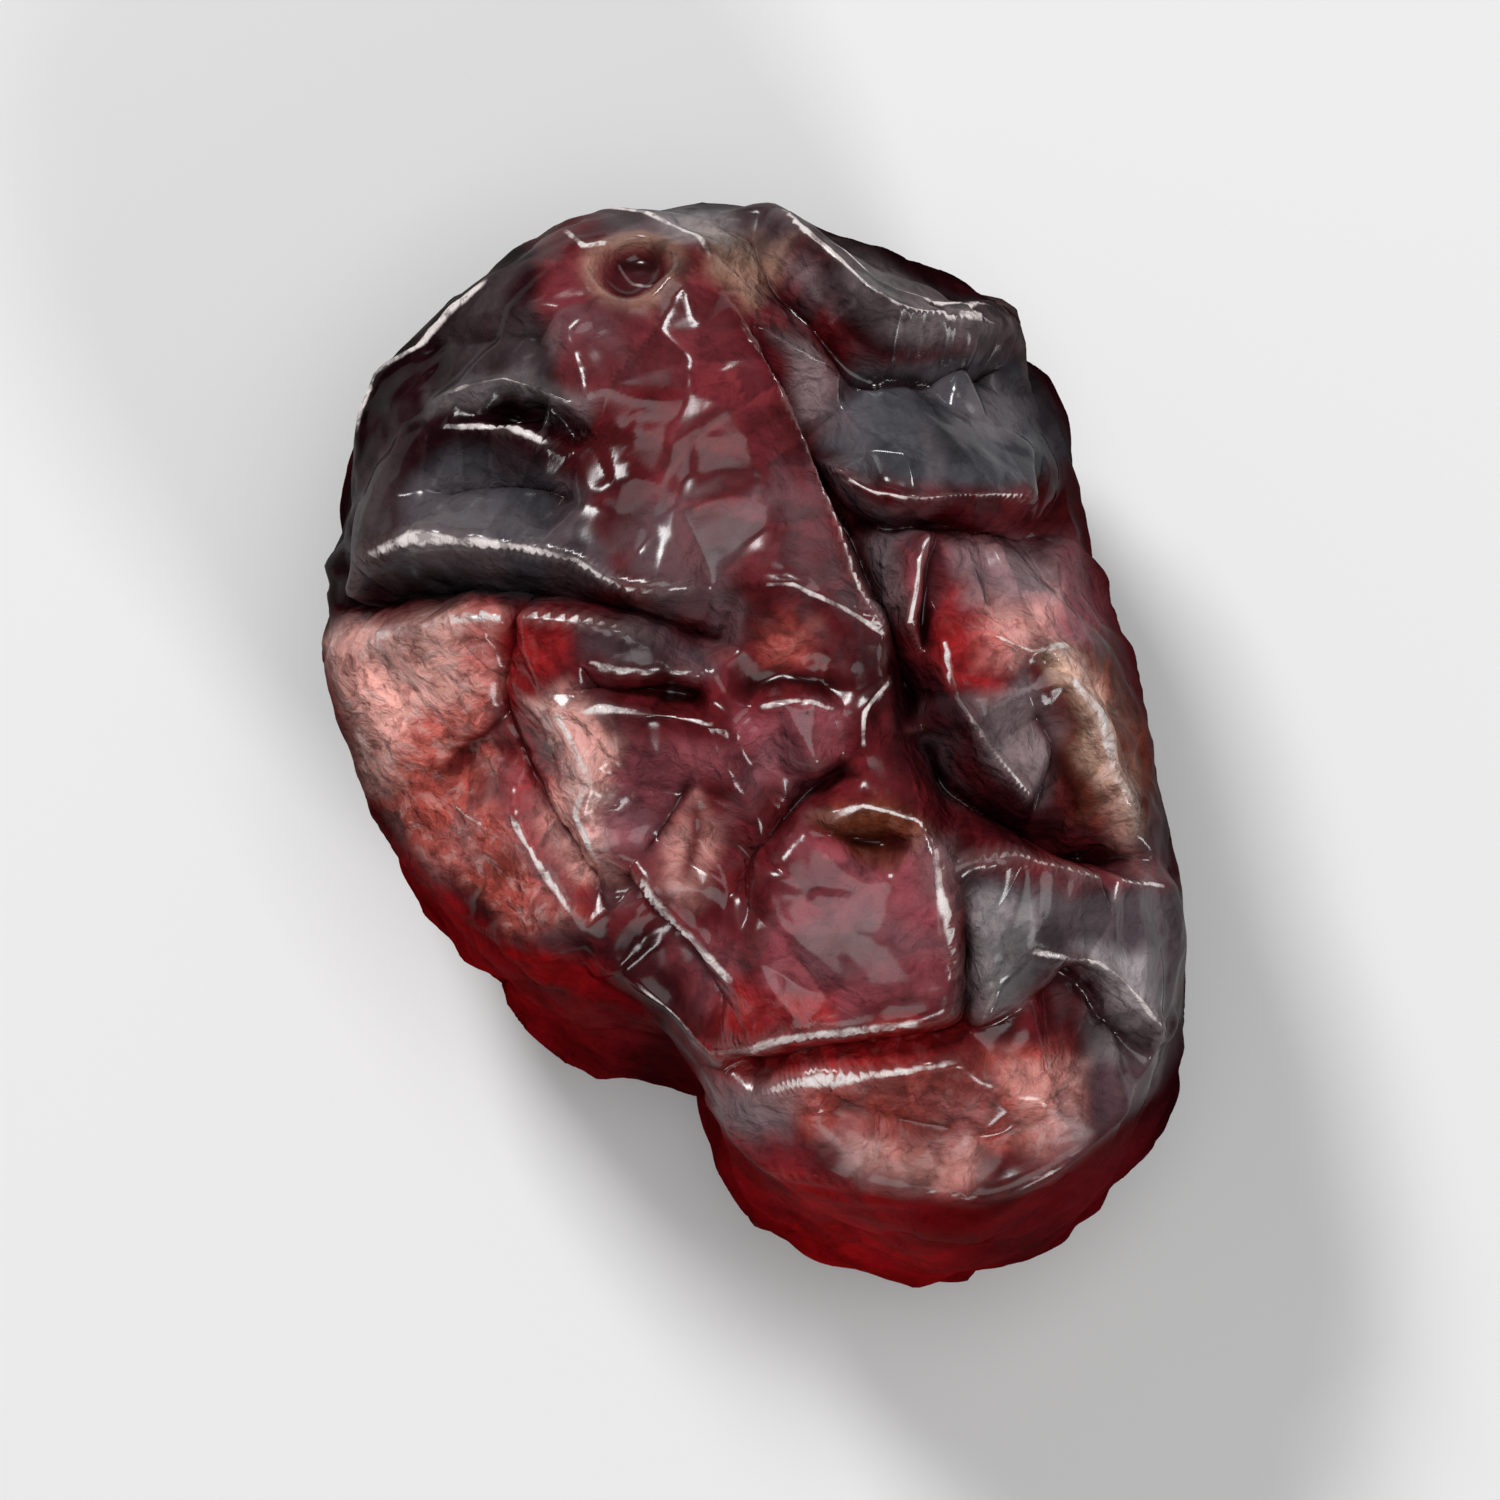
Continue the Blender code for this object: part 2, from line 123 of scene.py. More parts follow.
# Folds of the upper face: name, height from the smooth berry, and the plan points that the fold runs through
UPPER_FOLDS = (
    ("red lobe brow", 0.05, ((-5.8, 1.3), (-4.8, 1.5), (-3.7, 1.7), (-2.3, 1.6), (-1.2, 1.3))),
    ("left seam", -1.25,
     ((-5.9, 1.8), (-4.83, 2.05), (-3.5, 2.12), (-2.4, 2.0), (-1.45, 1.8), (-0.3, 1.35))),
    ("left lip", 0.12,
     ((-5.7, 2.4), (-4.65, 2.85), (-3.3, 2.75), (-2.5, 2.6), (-1.85, 2.25), (-0.65, 2.2))),
    ("middle cleft", -1.5, ((-0.15, 5.7), (0.25, 4.95), (0.7, 4.0), (1.2, 2.9), (1.7, 1.9), (2.2, 0.3))),
    ("blade ridge", 0.25, ((-0.6, 6.15), (-0.05, 5.3), (0.5, 4.1), (0.9, 3.0), (1.2, 2.1), (1.8, 1.3))),
    ("right cleft", -1.5, ((2.2, 0.3), (2.6, -0.55), (3.45, -1.0), (4.45, -1.5), (5.4, -1.45))),
    ("right cleft lip", 0.0, ((2.5, -1.5), (3.4, -1.5), (4.4, -1.8), (5.8, -1.85))),
    ("pit wall", -0.1, ((2.5, 1.85), (2.55, 0.8), (3.15, -0.05), (3.9, -0.85))),
    ("pit left edge", -0.1, ((1.85, 1.2), (1.35, 0.5), (1.35, -0.15))),
    ("upper groove", -1.1, ((1.0, 3.5), (1.8, 3.1), (2.65, 3.2), (3.45, 3.1), (4.5, 2.9))),
    ("upper groove lip", -0.05, ((0.7, 4.0), (1.4, 3.6), (2.1, 3.45), (3.05, 3.5), (4.0, 3.5))),
    ("crown groove", -0.75, ((-0.1, 7.0), (0.8, 6.05), (1.4, 5.25), (2.3, 5.3), (3.85, 5.35))),
    ("crown lip", 0.3, ((-0.15, 7.3), (0.8, 6.55), (1.7, 5.8), (3.45, 5.55))),
    ("crown wrinkle", 0.1, ((0.6, 6.95), (1.5, 6.25), (2.4, 5.9), (3.4, 5.8))),
    ("crown back crease", -0.2, ((0.9, 7.0), (1.8, 6.5), (3.2, 6.15))),
    ("shoulder ridge", 0.2, ((-4.45, 4.6), (-3.4, 4.9), (-2.2, 4.4))),
    ("shoulder fold", -0.4, ((-3.85, 4.45), (-3.0, 4.55), (-2.3, 4.2))),
    ("shoulder underlip", 0.05, ((-4.4, 4.3), (-3.4, 4.3), (-2.6, 4.0))),
    ("shoulder hollow", -0.5, ((-4.6, 3.5), (-3.2, 3.6), (-2.4, 3.3))),
    ("shoulder rim", 0.1, ((-5.5, 3.9), (-5.0, 4.9), (-4.2, 5.6), (-3.3, 6.45))),
    ("red crease", -0.65,
     ((-3.25, 1.95), (-3.6, 1.1), (-3.7, 0.4), (-3.35, -0.55), (-2.8, -1.4), (-2.15, -2.3))),
    ("red branch", -0.5, ((-3.7, 0.4), (-4.1, 0.0), (-4.6, -0.5))),
    ("lobe facet edge", -0.1, ((-3.6, -0.7), (-3.05, -1.6), (-2.4, -2.45))),
    ("lobe knot", -0.05, ((-4.3, -0.75), (-3.75, -1.05))),
    ("lobe band", -0.1, ((-3.0, 0.75), (-2.6, 0.2), (-2.35, -0.35), (-2.5, -0.9), (-2.15, -1.7))),
    ("lobe inner fold", -0.2, ((-4.9, 1.2), (-4.5, 0.5), (-4.4, 0.1))),
    ("left rim", 0.25, ((-5.85, 1.5), (-5.4, 0.3), (-5.1, -0.8), (-4.4, -1.6), (-3.5, -2.3), (-2.1, -2.6))),
    ("upper slit line", 0.0, ((-2.5, 1.2), (-1.45, 1.05), (-0.75, 1.0))),
    ("slit", -0.6, ((-2.5, 0.75), (-1.56, 0.8), (-0.7, 0.68))),
    ("slit lip", 0.05, ((-2.65, 0.5), (-1.42, 0.45), (-0.4, 0.3))),
    ("centre lip", 0.05, ((-0.2, 0.55), (0.5, 0.65), (1.1, 0.5))),
    ("centre crease", -0.35, ((-0.5, 0.75), (0.3, 0.95), (1.2, 0.8))),
    ("small ridge", -0.05, ((-0.2, 2.2), (0.4, 2.2), (1.05, 1.85), (1.8, 1.3))),
    ("valley lip", -0.05, ((2.6, 3.0), (2.1, 2.6), (2.05, 1.9), (1.95, 1.4))),
    ("small knot", -0.2, ((0.1, 1.9), (0.4, 1.5), (0.5, 1.15))),
    ("dark wedge", -0.5, ((-0.95, -0.3), (-1.3, -0.95), (-1.75, -1.6))),
    ("lens ridge", -0.35, ((-0.9, -0.6), (-0.95, -1.3), (-1.15, -1.95))),
    ("diagonal crease", -0.75, ((1.1, -0.1), (0.25, -1.0), (-0.5, -2.0))),
    ("diagonal lip", -0.2, ((1.3, -0.35), (0.6, -1.05), (-0.2, -2.15))),
    ("lower facet edge", 0.05, ((0.55, -1.1), (1.35, -0.75), (2.25, -1.1), (2.4, -2.6), (2.6, -3.4))),
    ("brown pit", -0.5, ((0.85, -1.15), (1.45, -1.25), (2.0, -1.25))),
    ("brown pit edge", -0.12, ((0.7, -1.35), (1.5, -1.8), (2.15, -1.4))),
    ("lower facet crease", -0.12, ((0.3, -1.7), (1.0, -2.4), (1.9, -2.7))),
    ("lower left groove", -0.65, ((-2.0, -1.6), (-1.4, -2.3), (-0.5, -3.4))),
    ("groove lip", -0.1, ((-1.75, -1.55), (-1.1, -2.3), (-0.2, -3.25))),
    ("lower rim", 0.05,
     ((-2.2, -2.65), (-1.25, -3.45), (-0.65, -4.0), (0.25, -3.75), (1.6, -3.6), (2.85, -3.45))),
    ("red slit", -0.75,
     ((-0.65, -4.3), (0.35, -4.15), (1.6, -3.95), (2.75, -3.75), (2.75, -2.65), (2.6, -1.75))),
    ("slit lower lip", 0.0, ((-0.5, -4.75), (0.6, -4.5), (1.9, -4.35), (3.0, -4.15))),
    ("bottom rim", 0.35, ((-0.55, -4.8), (0.2, -5.4), (1.4, -5.6), (2.85, -5.8), (3.7, -5.5), (5.1, -4.5))),
    ("bottom crease", -0.3, ((0.7, -4.6), (1.8, -5.05), (2.85, -5.25))),
    ("bottom knot", -0.15, ((3.1, -4.6), (3.4, -5.0), (3.2, -5.5))),
    ("hook", -0.7, ((3.65, -3.4), (4.2, -3.05), (4.6, -3.35), (4.9, -3.8), (5.35, -4.2))),
    ("hook lip", 0.15, ((3.2, -2.6), (4.45, -2.8), (5.0, -3.3), (5.5, -4.0))),
    ("right facet edge", 0.0, ((3.0, -2.45), (3.15, -3.25), (2.9, -3.9))),
    ("golden ridge", 0.05, ((3.9, 1.2), (4.4, 0.5), (4.7, -0.4), (5.15, -1.1))),
    ("golden groove", -0.4, ((3.6, 0.8), (4.1, -0.05), (4.6, -0.95))),
    ("golden outer groove", -0.3, ((4.35, 1.2), (4.9, 0.2), (5.2, -0.6))),
    ("lobe top edge", 0.05, ((2.95, 1.6), (3.6, 1.3), (4.2, 1.4))),
    ("right lobe valley", -0.6, ((2.3, 2.75), (2.3, 1.9), (2.3, 1.3))),
    ("facet streak", -0.2, ((-1.0, 4.1), (-1.1, 3.4), (-1.35, 2.9))),
    ("facet left edge", -0.12, ((-0.86, 5.64), (-1.27, 3.7), (-1.83, 2.3))),
    ("facet middle", -0.12, ((-0.3, 4.6), (0.0, 3.4), (0.2, 2.6))),
    ("stem lip", 0.15, ((-2.75, 7.0), (-2.35, 6.6), (-2.0, 6.65), (-1.75, 6.35), (-1.05, 6.25))),
    ("stem back lip", 0.05, ((-2.4, 7.25), (-1.6, 7.15), (-0.9, 6.8), (-0.6, 6.3))),
)

# Clefts that run on from the upper face down the wall: azimuth at the top and bottom, elevations, height
WALL_CLEFTS = (
    ("left cleft", (163, 159), (18, -34), -0.9),
    ("lower left cleft", (255, 248), (28, -46), -1.1),
    ("right cleft", (-13, -16), (24, -36), -0.8),
    ("upper right cleft", (34, 28), (20, -22), -0.6),
    ("crown cleft", (56, 64), (16, -26), -0.4),
)

# Folds down the wall: how many, and the ranges in degrees of their tops, bottoms and swing to the side
WALL_FOLDS = 19
WALL_TOPS = (2, 16)
WALL_BOTTOMS = (-50, -30)
WALL_SWING = 20
WALL_BEND = 0.2
# Depths of the wall's ridges, and of its valleys as shares of the deepest, which is less on the smoother side
WALL_RIDGES = (0.1, 0.3)
WALL_VALLEYS = (0.7, 1)
DEEPEST_VALLEY = 1.25
DEEPEST_SMOOTHER = 0.65
SMOOTHER_WALL = (183, 335)

# Folds over the underside: how many, the ranges in degrees of their ends and swing, and their depths
UNDERSIDE_FOLDS = 11
UNDERSIDE_INNER = (-74, -64)
UNDERSIDE_OUTER = (-40, -30)
UNDERSIDE_SWING = 25
UNDERSIDE_BEND = 0.4
UNDERSIDE_DEPTHS = (0.7, 1.1)
# How far each fold strays from even spacing round the berry
FOLD_STRAY = 0.3

# Clefts that close up: how deep a fold has to be, how far it reaches and the share of its length that tapers
CLEFT_HEIGHT = -0.5
CLEFT_REACH = 0.45
CLEFT_TAPER = 0.15
# How many widths away from a line its effect ends
LINE_REACH = 3

# Crumpling into facets: number of corners, greatest height on top and below, seed
CRUMPLES = (
    (90, (0.12, 0.42), 11),
    (1500, (0.05, 0.08), 13),
    (6000, (0.025, 0.03), 14),
)

# Corners of the facets: spacing along the folds, how many more are scattered, how far those lie in or out
CORNER_SPACING = 0.4
SCATTERED_CORNERS = 800
CORNER_LIFT = 0.12
# Corners closer than this become one
CORNER_GAP = 0.14
# How unevenly corners are scattered, as a share of their spacing
CORNER_SCATTER = 1.6

# Width and height of the thin pinch along each ridge
PINCH_WIDTH = 0.08
PINCH_HEIGHT = 0.06

# The painted shine along each ridge: how far from it the painted shine can lie, how far its sides are
# measured, its half width
GLINT_REACH = 0.13
BESIDE_REACH = 0.3
GLINT_WIDTH = 0.04

# Width of the line of painted shade down each groove
GROOVE_WIDTH = 0.13

# Folds higher than this are pinched ridges with painted shine, and folds lower than this are grooves with a
# line of painted shade
RIDGE_HEIGHT = -0.11
GROOVE_HEIGHT = -0.3

# Differently coloured places of the upper face, among them painted sheen, painted highlights and red glow:
# name, colour, share of it, plan outline
PATCHES = (
    ("left edge", "dark", 1.0, ((-6.4, 1.9), (-3.0, 2.0), (-2.6, 4.6), (-3.2, 6.9), (-6.4, 5.5))),
    ("left shoulder", "charcoal", 0.75,
     ((-4.8, 2.2), (-3.7, 2.2), (-1.9, 2.1), (-2.3, 3.6), (-3.6, 4.1), (-4.5, 3.8))),
    ("far left", "dark", 1.0, ((-6.4, 1.9), (-5.1, 2.0), (-5.0, 3.8), (-5.3, 5.2), (-6.4, 5.0))),
    ("upper shoulder", "dark", 0.95, ((-6.2, 4.3), (-3.0, 4.6), (-3.1, 5.6), (-3.4, 6.9), (-5.0, 6.4))),
    ("shoulder pocket", "dark", 0.7, ((-4.0, 4.7), (-2.2, 4.5), (-2.3, 3.6), (-3.6, 3.5))),
    ("stem facet", "mauve", 0.25,
     ((-3.0, 6.9), (-1.0, 6.6), (-0.6, 5.9), (-0.9, 5.2), (-1.9, 4.6), (-2.8, 5.0))),
    ("blade facet", "mauve", 0.15,
     ((-0.6, 6.1), (0.1, 4.9), (1.0, 2.5), (-0.9, 2.3), (-1.8, 2.1), (-1.1, 4.7))),
    ("crown facet", "maroon", 1.0,
     ((-0.2, 6.9), (0.8, 6.0), (1.5, 5.3), (0.9, 3.8), (0.2, 5.0), (-0.4, 6.0))),
    ("crown sheen", "painted_sheen_grey", 0.5, ((0.1, 5.7), (0.7, 5.3), (1.2, 4.9), (1.1, 4.2), (0.6, 4.2), (0.3, 5.0))),
    ("crown front", "painted_sheen_grey", 0.4, ((0.1, 6.9), (0.9, 6.5), (1.5, 5.8), (0.9, 5.9), (0.3, 6.5))),
    ("right shoulder", "charcoal", 1.0,
     ((1.4, 5.2), (4.2, 5.3), (4.4, 3.9), (2.9, 3.5), (1.4, 3.7), (0.9, 4.0))),
    ("crown", "dark", 0.8, ((0.1, 7.5), (1.6, 7.0), (4.2, 5.7), (3.6, 5.3), (1.6, 5.3), (0.8, 6.1))),
    ("crown back", "painted_sheen_grey", 0.3, ((0.8, 7.2), (2.2, 6.3), (4.1, 5.7), (3.4, 5.3), (1.8, 5.6), (0.9, 6.4))),
    ("shoulder top", "painted_sheen_grey", 0.4,
     ((-4.4, 4.9), (-3.3, 5.2), (-2.2, 4.7), (-2.3, 4.4), (-3.4, 4.8), (-4.3, 4.6))),
    ("stem back", "charcoal", 0.7, ((-2.6, 7.6), (0.5, 7.6), (0.3, 7.0), (-2.2, 6.9))),
    ("stem end", "painted_sheen_grey", 0.7, ((-1.3, 7.4), (-0.4, 7.4), (-0.3, 6.9), (-1.2, 6.9))),
    ("stem tan", "tan", 0.35, ((-0.8, 7.1), (0.2, 7.0), (0.1, 6.4), (-0.3, 6.1), (-0.8, 6.5))),
    ("left lobe", "cream", 0.95,
     ((-6.2, 1.6), (-3.6, 1.9), (-3.6, 1.0), (-3.9, 0.3), (-4.6, -0.5), (-5.3, -0.7))),
    ("lobe glow", "red", 0.6,
     ((-4.0, 2.0), (-2.5, 1.9), (-2.6, 1.2), (-3.0, 0.7), (-3.9, 0.6), (-4.2, 1.2))),
    ("lobe middle", "rose", 0.7, ((-4.6, 0.6), (-3.7, 0.8), (-3.6, -0.2), (-4.3, -0.8), (-5.0, -0.4))),
    ("lobe facet", "rose", 0.9,
     ((-5.2, -0.7), (-4.3, -0.6), (-3.5, -0.6), (-2.35, -2.4), (-3.4, -2.4), (-4.3, -1.7))),
    ("lobe band", "cream", 1.0,
     ((-3.2, 0.7), (-2.6, 0.8), (-2.1, 0.1), (-1.8, -1.8), (-2.3, -1.9), (-3.0, -0.9))),
    ("crease glow", "red", 0.6,
     ((-3.5, 0.9), (-3.2, 0.5), (-3.1, -0.6), (-2.1, -2.0), (-2.3, -2.4), (-3.5, -0.7))),
    ("over the slit", "charcoal", 0.6, ((-2.4, 1.8), (-1.5, 1.65), (-0.4, 1.1), (-1.0, 1.0), (-2.3, 1.15))),
    ("under the slit", "mauve", 0.9,
     ((-2.0, 0.25), (-0.2, 0.3), (-0.1, -0.4), (-0.8, -0.3), (-1.6, -1.5), (-2.1, -0.9))),
    # Painted highlight: a pale lens beside the lens ridge
    ("lens", "cream", 0.55, ((-0.95, -0.6), (-0.7, -1.2), (-1.0, -2.1), (-1.5, -1.8))),
    ("blade foot", "painted_sheen_grey", 0.35, ((1.1, 2.9), (1.9, 2.9), (2.0, 2.0), (1.5, 1.7))),
    ("right valley", "mauve", 0.6, ((1.9, 2.9), (2.8, 2.9), (2.7, 2.0), (2.1, 1.9))),
    ("centre", "maroon", 0.8,
     ((-0.3, 2.0), (0.4, 2.2), (1.3, 1.8), (1.9, 1.1), (1.2, 0.6), (0.0, 0.7), (-0.6, 1.1))),
    ("centre knot", "rose", 0.5, ((0.0, 1.9), (0.5, 1.8), (0.6, 1.2), (0.2, 1.2))),
    ("centre facet", "mauve", 0.9, ((-0.2, 0.55), (1.1, 0.6), (0.8, -0.2), (0.2, -0.7), (-0.1, -0.3))),
    ("centre right", "dark", 0.6, ((1.1, 1.5), (2.0, 1.3), (1.9, 0.3), (1.2, 0.4))),
    ("pit", "dark", 0.75,
     ((1.9, 1.2), (2.5, 1.0), (3.1, 0.0), (4.2, -0.9), (5.3, -1.4), (3.1, -1.1), (1.4, -0.2))),
    ("lower left", "dark", 0.7, ((-2.6, -2.6), (-1.5, -2.4), (-0.9, -3.5), (-1.4, -3.9))),
    ("lower lip", "mauve", 0.7, ((-1.3, -2.4), (-0.8, -2.5), (-0.3, -3.4), (-0.8, -3.6))),
    ("lower facet top", "painted_sheen_grey", 0.4, ((1.9, -1.2), (2.5, -1.2), (2.5, -2.1), (2.1, -2.0))),
    ("lower facet", "mauve", 0.65,
     ((0.3, -1.2), (1.5, -1.7), (2.3, -1.3), (2.6, -3.4), (0.8, -3.5), (-0.3, -3.5))),
    ("orange glow", "red", 0.7, ((-0.4, -3.1), (0.9, -3.15), (0.9, -3.6), (-0.5, -3.8))),
    ("brown pit", "brown", 1.0, ((0.67, -1.04), (1.5, -0.78), (2.2, -1.2), (1.6, -1.74))),
    ("red slit", "red", 0.85,
     ((-0.7, -4.0), (1.3, -3.75), (2.75, -3.55), (2.8, -3.9), (1.3, -4.3), (-0.5, -4.5))),
    ("bottom face", "rose", 0.45,
     ((-0.4, -4.6), (3.0, -4.1), (4.0, -3.9), (4.4, -4.6), (3.6, -5.4), (1.3, -5.5))),
    ("bottom corner", "charcoal", 0.6, ((4.3, -3.6), (5.9, -3.4), (5.6, -5.2), (4.4, -5.2))),
    ("bottom right", "cream", 0.45, ((3.2, -4.3), (4.4, -4.2), (4.3, -5.2), (3.4, -5.4))),
    ("bottom lip", "cream", 0.4, ((1.2, -5.2), (3.0, -5.2), (2.9, -5.9), (1.3, -5.8))),
    ("bottom left", "painted_sheen_grey", 0.4, ((-0.7, -4.4), (0.3, -4.4), (0.3, -5.2), (-0.5, -5.1))),
    ("lower right", "charcoal", 0.8,
     ((2.6, -1.7), (5.9, -1.9), (5.7, -3.6), (4.2, -2.9), (3.3, -3.2), (2.9, -2.7))),
    ("lower right front", "painted_sheen_grey", 0.75, ((2.7, -2.0), (3.5, -2.0), (3.3, -3.0), (2.9, -2.9))),
    ("hook sheen", "painted_sheen_grey", 0.8, ((4.2, -2.7), (5.3, -2.8), (5.4, -3.7), (4.5, -3.4))),
    ("right lobe", "mauve", 0.8, ((2.5, 2.9), (4.3, 2.9), (4.8, 1.8), (4.2, 1.4), (3.0, 1.2), (2.7, 2.0))),
    ("right lobe front", "cream", 0.6, ((2.9, 2.1), (3.9, 2.1), (4.1, 1.5), (3.5, 1.2), (2.9, 1.3))),
    ("right glow", "red", 0.55, ((2.4, 2.5), (2.9, 2.2), (3.2, 1.5), (3.2, 0.9), (2.5, 0.95), (2.3, 1.7))),
    ("right facet", "painted_sheen_grey", 0.55, ((2.75, 0.75), (3.5, 1.1), (4.1, -0.2), (3.8, -0.6), (3.1, 0.0))),
    # Painted highlight: the tan streak down the golden ridge and its cream middle, between brown edges
    ("golden edge", "brown", 0.7,
     ((3.9, 1.5), (4.6, 1.3), (5.6, -0.6), (5.4, -1.2), (4.2, -0.9), (4.0, 0.4))),
    ("painted golden highlight", "tan", 1.0, ((3.8, 1.3), (4.15, 1.25), (5.35, -1.1), (5.05, -1.2), (4.35, -0.2))),
    ("golden glow", "cream", 0.45,
     ((3.9, 1.3), (4.3, 1.2), (5.0, -0.6), (5.2, -1.6), (4.8, -1.4), (4.3, 0.2))),
    ("facet foot", "dark", 0.5, ((-2.1, 3.9), (-1.4, 3.8), (-1.2, 2.7), (-2.1, 2.7))),
    ("right lobe top", "painted_sheen_grey", 0.45, ((2.6, 2.9), (3.9, 2.7), (3.9, 2.1), (2.7, 2.0))),
    ("notch", "maroon", 0.6, ((-2.1, -1.2), (-1.4, -1.1), (-1.3, -2.0), (-2.0, -2.2))),
    ("beside lower facet", "painted_sheen_grey", 0.55, ((2.75, -2.0), (3.5, -2.0), (3.6, -3.4), (2.8, -3.5))),
    ("under the hook", "painted_sheen_grey", 0.45, ((4.3, -2.8), (5.2, -2.8), (5.2, -4.2), (4.4, -4.2))),
    ("lobe middle glow", "rose", 0.5, ((-4.7, 0.5), (-3.8, 0.6), (-3.7, -0.6), (-4.6, -0.7))),
    ("lobe crease glow", "red", 0.5, ((-3.6, 0.7), (-3.0, 0.7), (-2.9, -0.6), (-3.5, -0.6))),
)

# How crinkled and how glossy each colour of skin is
CHARACTER = {
    "dark": (0.35, 0.45),
    "maroon": (0.3, 0.8),
    "red": (0.5, 0.6),
    "rose": (0.75, 0.8),
    "cream": (0.9, 0.9),
    "mauve": (0.4, 0.8),
    "charcoal": (0.2, 1.0),
    "painted_sheen_grey": (0.5, 0.8),
    "brown": (0.5, 0.4),
    "tan": (0.9, 0.7),
}
WALL_CHARACTER = (0.15, 0.05)

# Plan outline of the glossy upper face, along its rims
FACE_OUTLINE = (
    (-6.2, 2.3), (-6.0, 1.45), (-5.6, 0.25), (-5.25, -0.9), (-4.5, -1.75), (-3.55, -2.5), (-2.2, -2.85),
    (-1.35, -3.6), (-0.8, -4.2), (-0.7, -4.9), (0.1, -5.65), (1.4, -5.85), (2.85, -6.05), (3.85, -5.75),
    (5.3, -4.6), (5.8, -3.8), (6.1, -2.0), (5.7, -0.6), (5.4, 0.7), (5.0, 1.9), (4.7, 3.1),
    (4.4, 4.2), (4.3, 5.5), (2.3, 6.6), (0.8, 7.3), (-0.45, 7.8), (-1.8, 7.7), (-3.6, 6.8),
    (-5.2, 5.3), (-6.2, 3.7),
)
FACE_SOFTNESS = 0.35
# How the face ends down the walls: between which slopes, and the scale and strength of its wandering
FACE_SLOPES = (0.0, 0.45)
FACE_WANDER = (0.55, 0.45)
# How strongly the walls' facets differ in shade, as a share of the upper face's
WALL_SHADES = 0.4
# The slopes between which the upper face grows darker with painted shade, and duller, towards its edge, and
# how much darker
EDGE_SLOPES = (0.2, 0.75)
EDGE_SHADE = 0.8
# How soft the patches' edges are, and the scale per mm, detail and strength of their wandering
PATCH_SOFTNESS = 0.4
PATCH_SCALE = 0.7
PATCH_DETAIL = 3
PATCH_WANDER = 0.3

# How much of the dry rim's colour the stem scar's ring takes, and the most that any ring takes
STEM_RIM = 0.3
RIM_SHARE = 0.9

# Crests, creases and hollows, painted lighter and darker as highlight and shade: rounds of easing that find
# them, and how far they stand out or sink
FINE_ROUNDS = 4
BROAD_ROUNDS = 40
CRESTS = (0.02, 0.06)
CREASES = (0.014, 0.05)
HOLLOWS = (0.01, 0.1)
# How far the skin faces the smooth berry's way where the painted glints begin and where they are whole
GLINT_FACING = (0.5, 0.9)

# Red light through the wall: azimuth in degrees, how far round it reaches, strength
WALL_GLOWS = ((180, 20, 0.4), (216, 26, 1.0), (238, 12, 0.5), (278, 20, 1.0), (302, 14, 0.35), (20, 20, 0.2))
# The directions' heights between which that light begins, and what it multiplies the red by
GLOW_RISE = (-0.8, -0.3)
GLOW_TINT = (0.65, 0.25, 0.35)

# Textures of the skin: noise scales per metre, and what each kind of crinkle adds to the height
WARP_SCALE = 1300.0
WARP_REACH = 0.0007
CRINKLE_SCALES = {"Crinkle Scale": 1700.0, "Fine Scale": 4200.0}
CRINKLE_SHARES = (0.5, 0.3)
WAVE_SCALE = 2600.0
WAVE_SHARE = 0.8
# Painted sheen: the noise scale per metre of its grey spots
PAINTED_SHEEN_SCALE = 520.0
# Noises that the material reads by name: scale per metre, detail, roughness
NOISES = {"Flecks": (4300.0, 4.0, 0.6), "Mottle": (700.0, 6.0, 0.65)}

# Colours that the skin's material mixes in or multiplies by, and their shares: painted highlight on crests
# and crinkles, the tint of painted shade and of dark flecks, painted sheen and painted glints
PAINTED_HIGHLIGHT_TINT = (0.75, 0.55, 0.52, 1)
SHADE_AND_FLECK_TINT = (0.22, 0.09, 0.11, 1)
PAINTED_SHEEN_TINT = (0.2, 0.16, 0.175, 1)
PAINTED_GLINT_COLOUR = (0.8, 0.72, 0.7, 1)
PAINTED_HIGHLIGHT_SHARE = 0.55
PAINTED_SHEEN_SHARE = 0.45
PAINTED_SPARKLE_SHARE = 0.75
CREST_HIGHLIGHT_SHARE = 0.15
CREASE_SHADE_SHARE = 0.95
HOLLOW_SHADE_SHARE = 0.8

# Ranges that the skin's material maps: low and high end, and the values there if they aren't 0 and 1
MOTTLE_TO_SHADE = (0.3, 0.7, 0.55, 1.4)
FACET_TO_SHADE = (0.0, 1.0, 0.7, 1.3)
CRINKLED_TO_PAINTED_SPARKLE = (0.3, 1.0)
NOISE_TO_PAINTED_SHEEN = (0.48, 0.68)
NOISE_TO_PAINTED_SPARKLE = (0.5, 0.64)
NOISE_TO_DARK_FLECKS = (0.48, 0.36)
CRINKLED_TO_DARK_FLECKS = (0.1, 0.9, 0.15, 0.5)
MOTTLE_TO_WAVER = (0.35, 0.6, 1.6, 0.8)
NEARNESS_TO_GLINT = (0.5, 0.75)
MOTTLE_TO_GLINT = (0.4, 0.53, 0.1, 1.0)
NOISE_TO_GLINT = (0.36, 0.5, 0.35, 1.0)
GLOSS_TO_ROUGHNESS = (0.0, 1.0, 1.0, 0.38)
MOTTLE_TO_ROUGHNESS = (0.3, 0.7, -0.06, 0.08)
MOTTLE_TO_COAT = (0.25, 0.6, 1.0, 0.6)
CRINKLED_TO_RELIEF = (0.0, 1.0, 0.45, 1.2)
GLINT_SHARPNESS = 0.35
BUMP_DISTANCE = 0.00023
COAT_ROUGHNESS = 0.17
COAT_IOR = 1.5
FLOOR_ROUGHNESS = 0.9

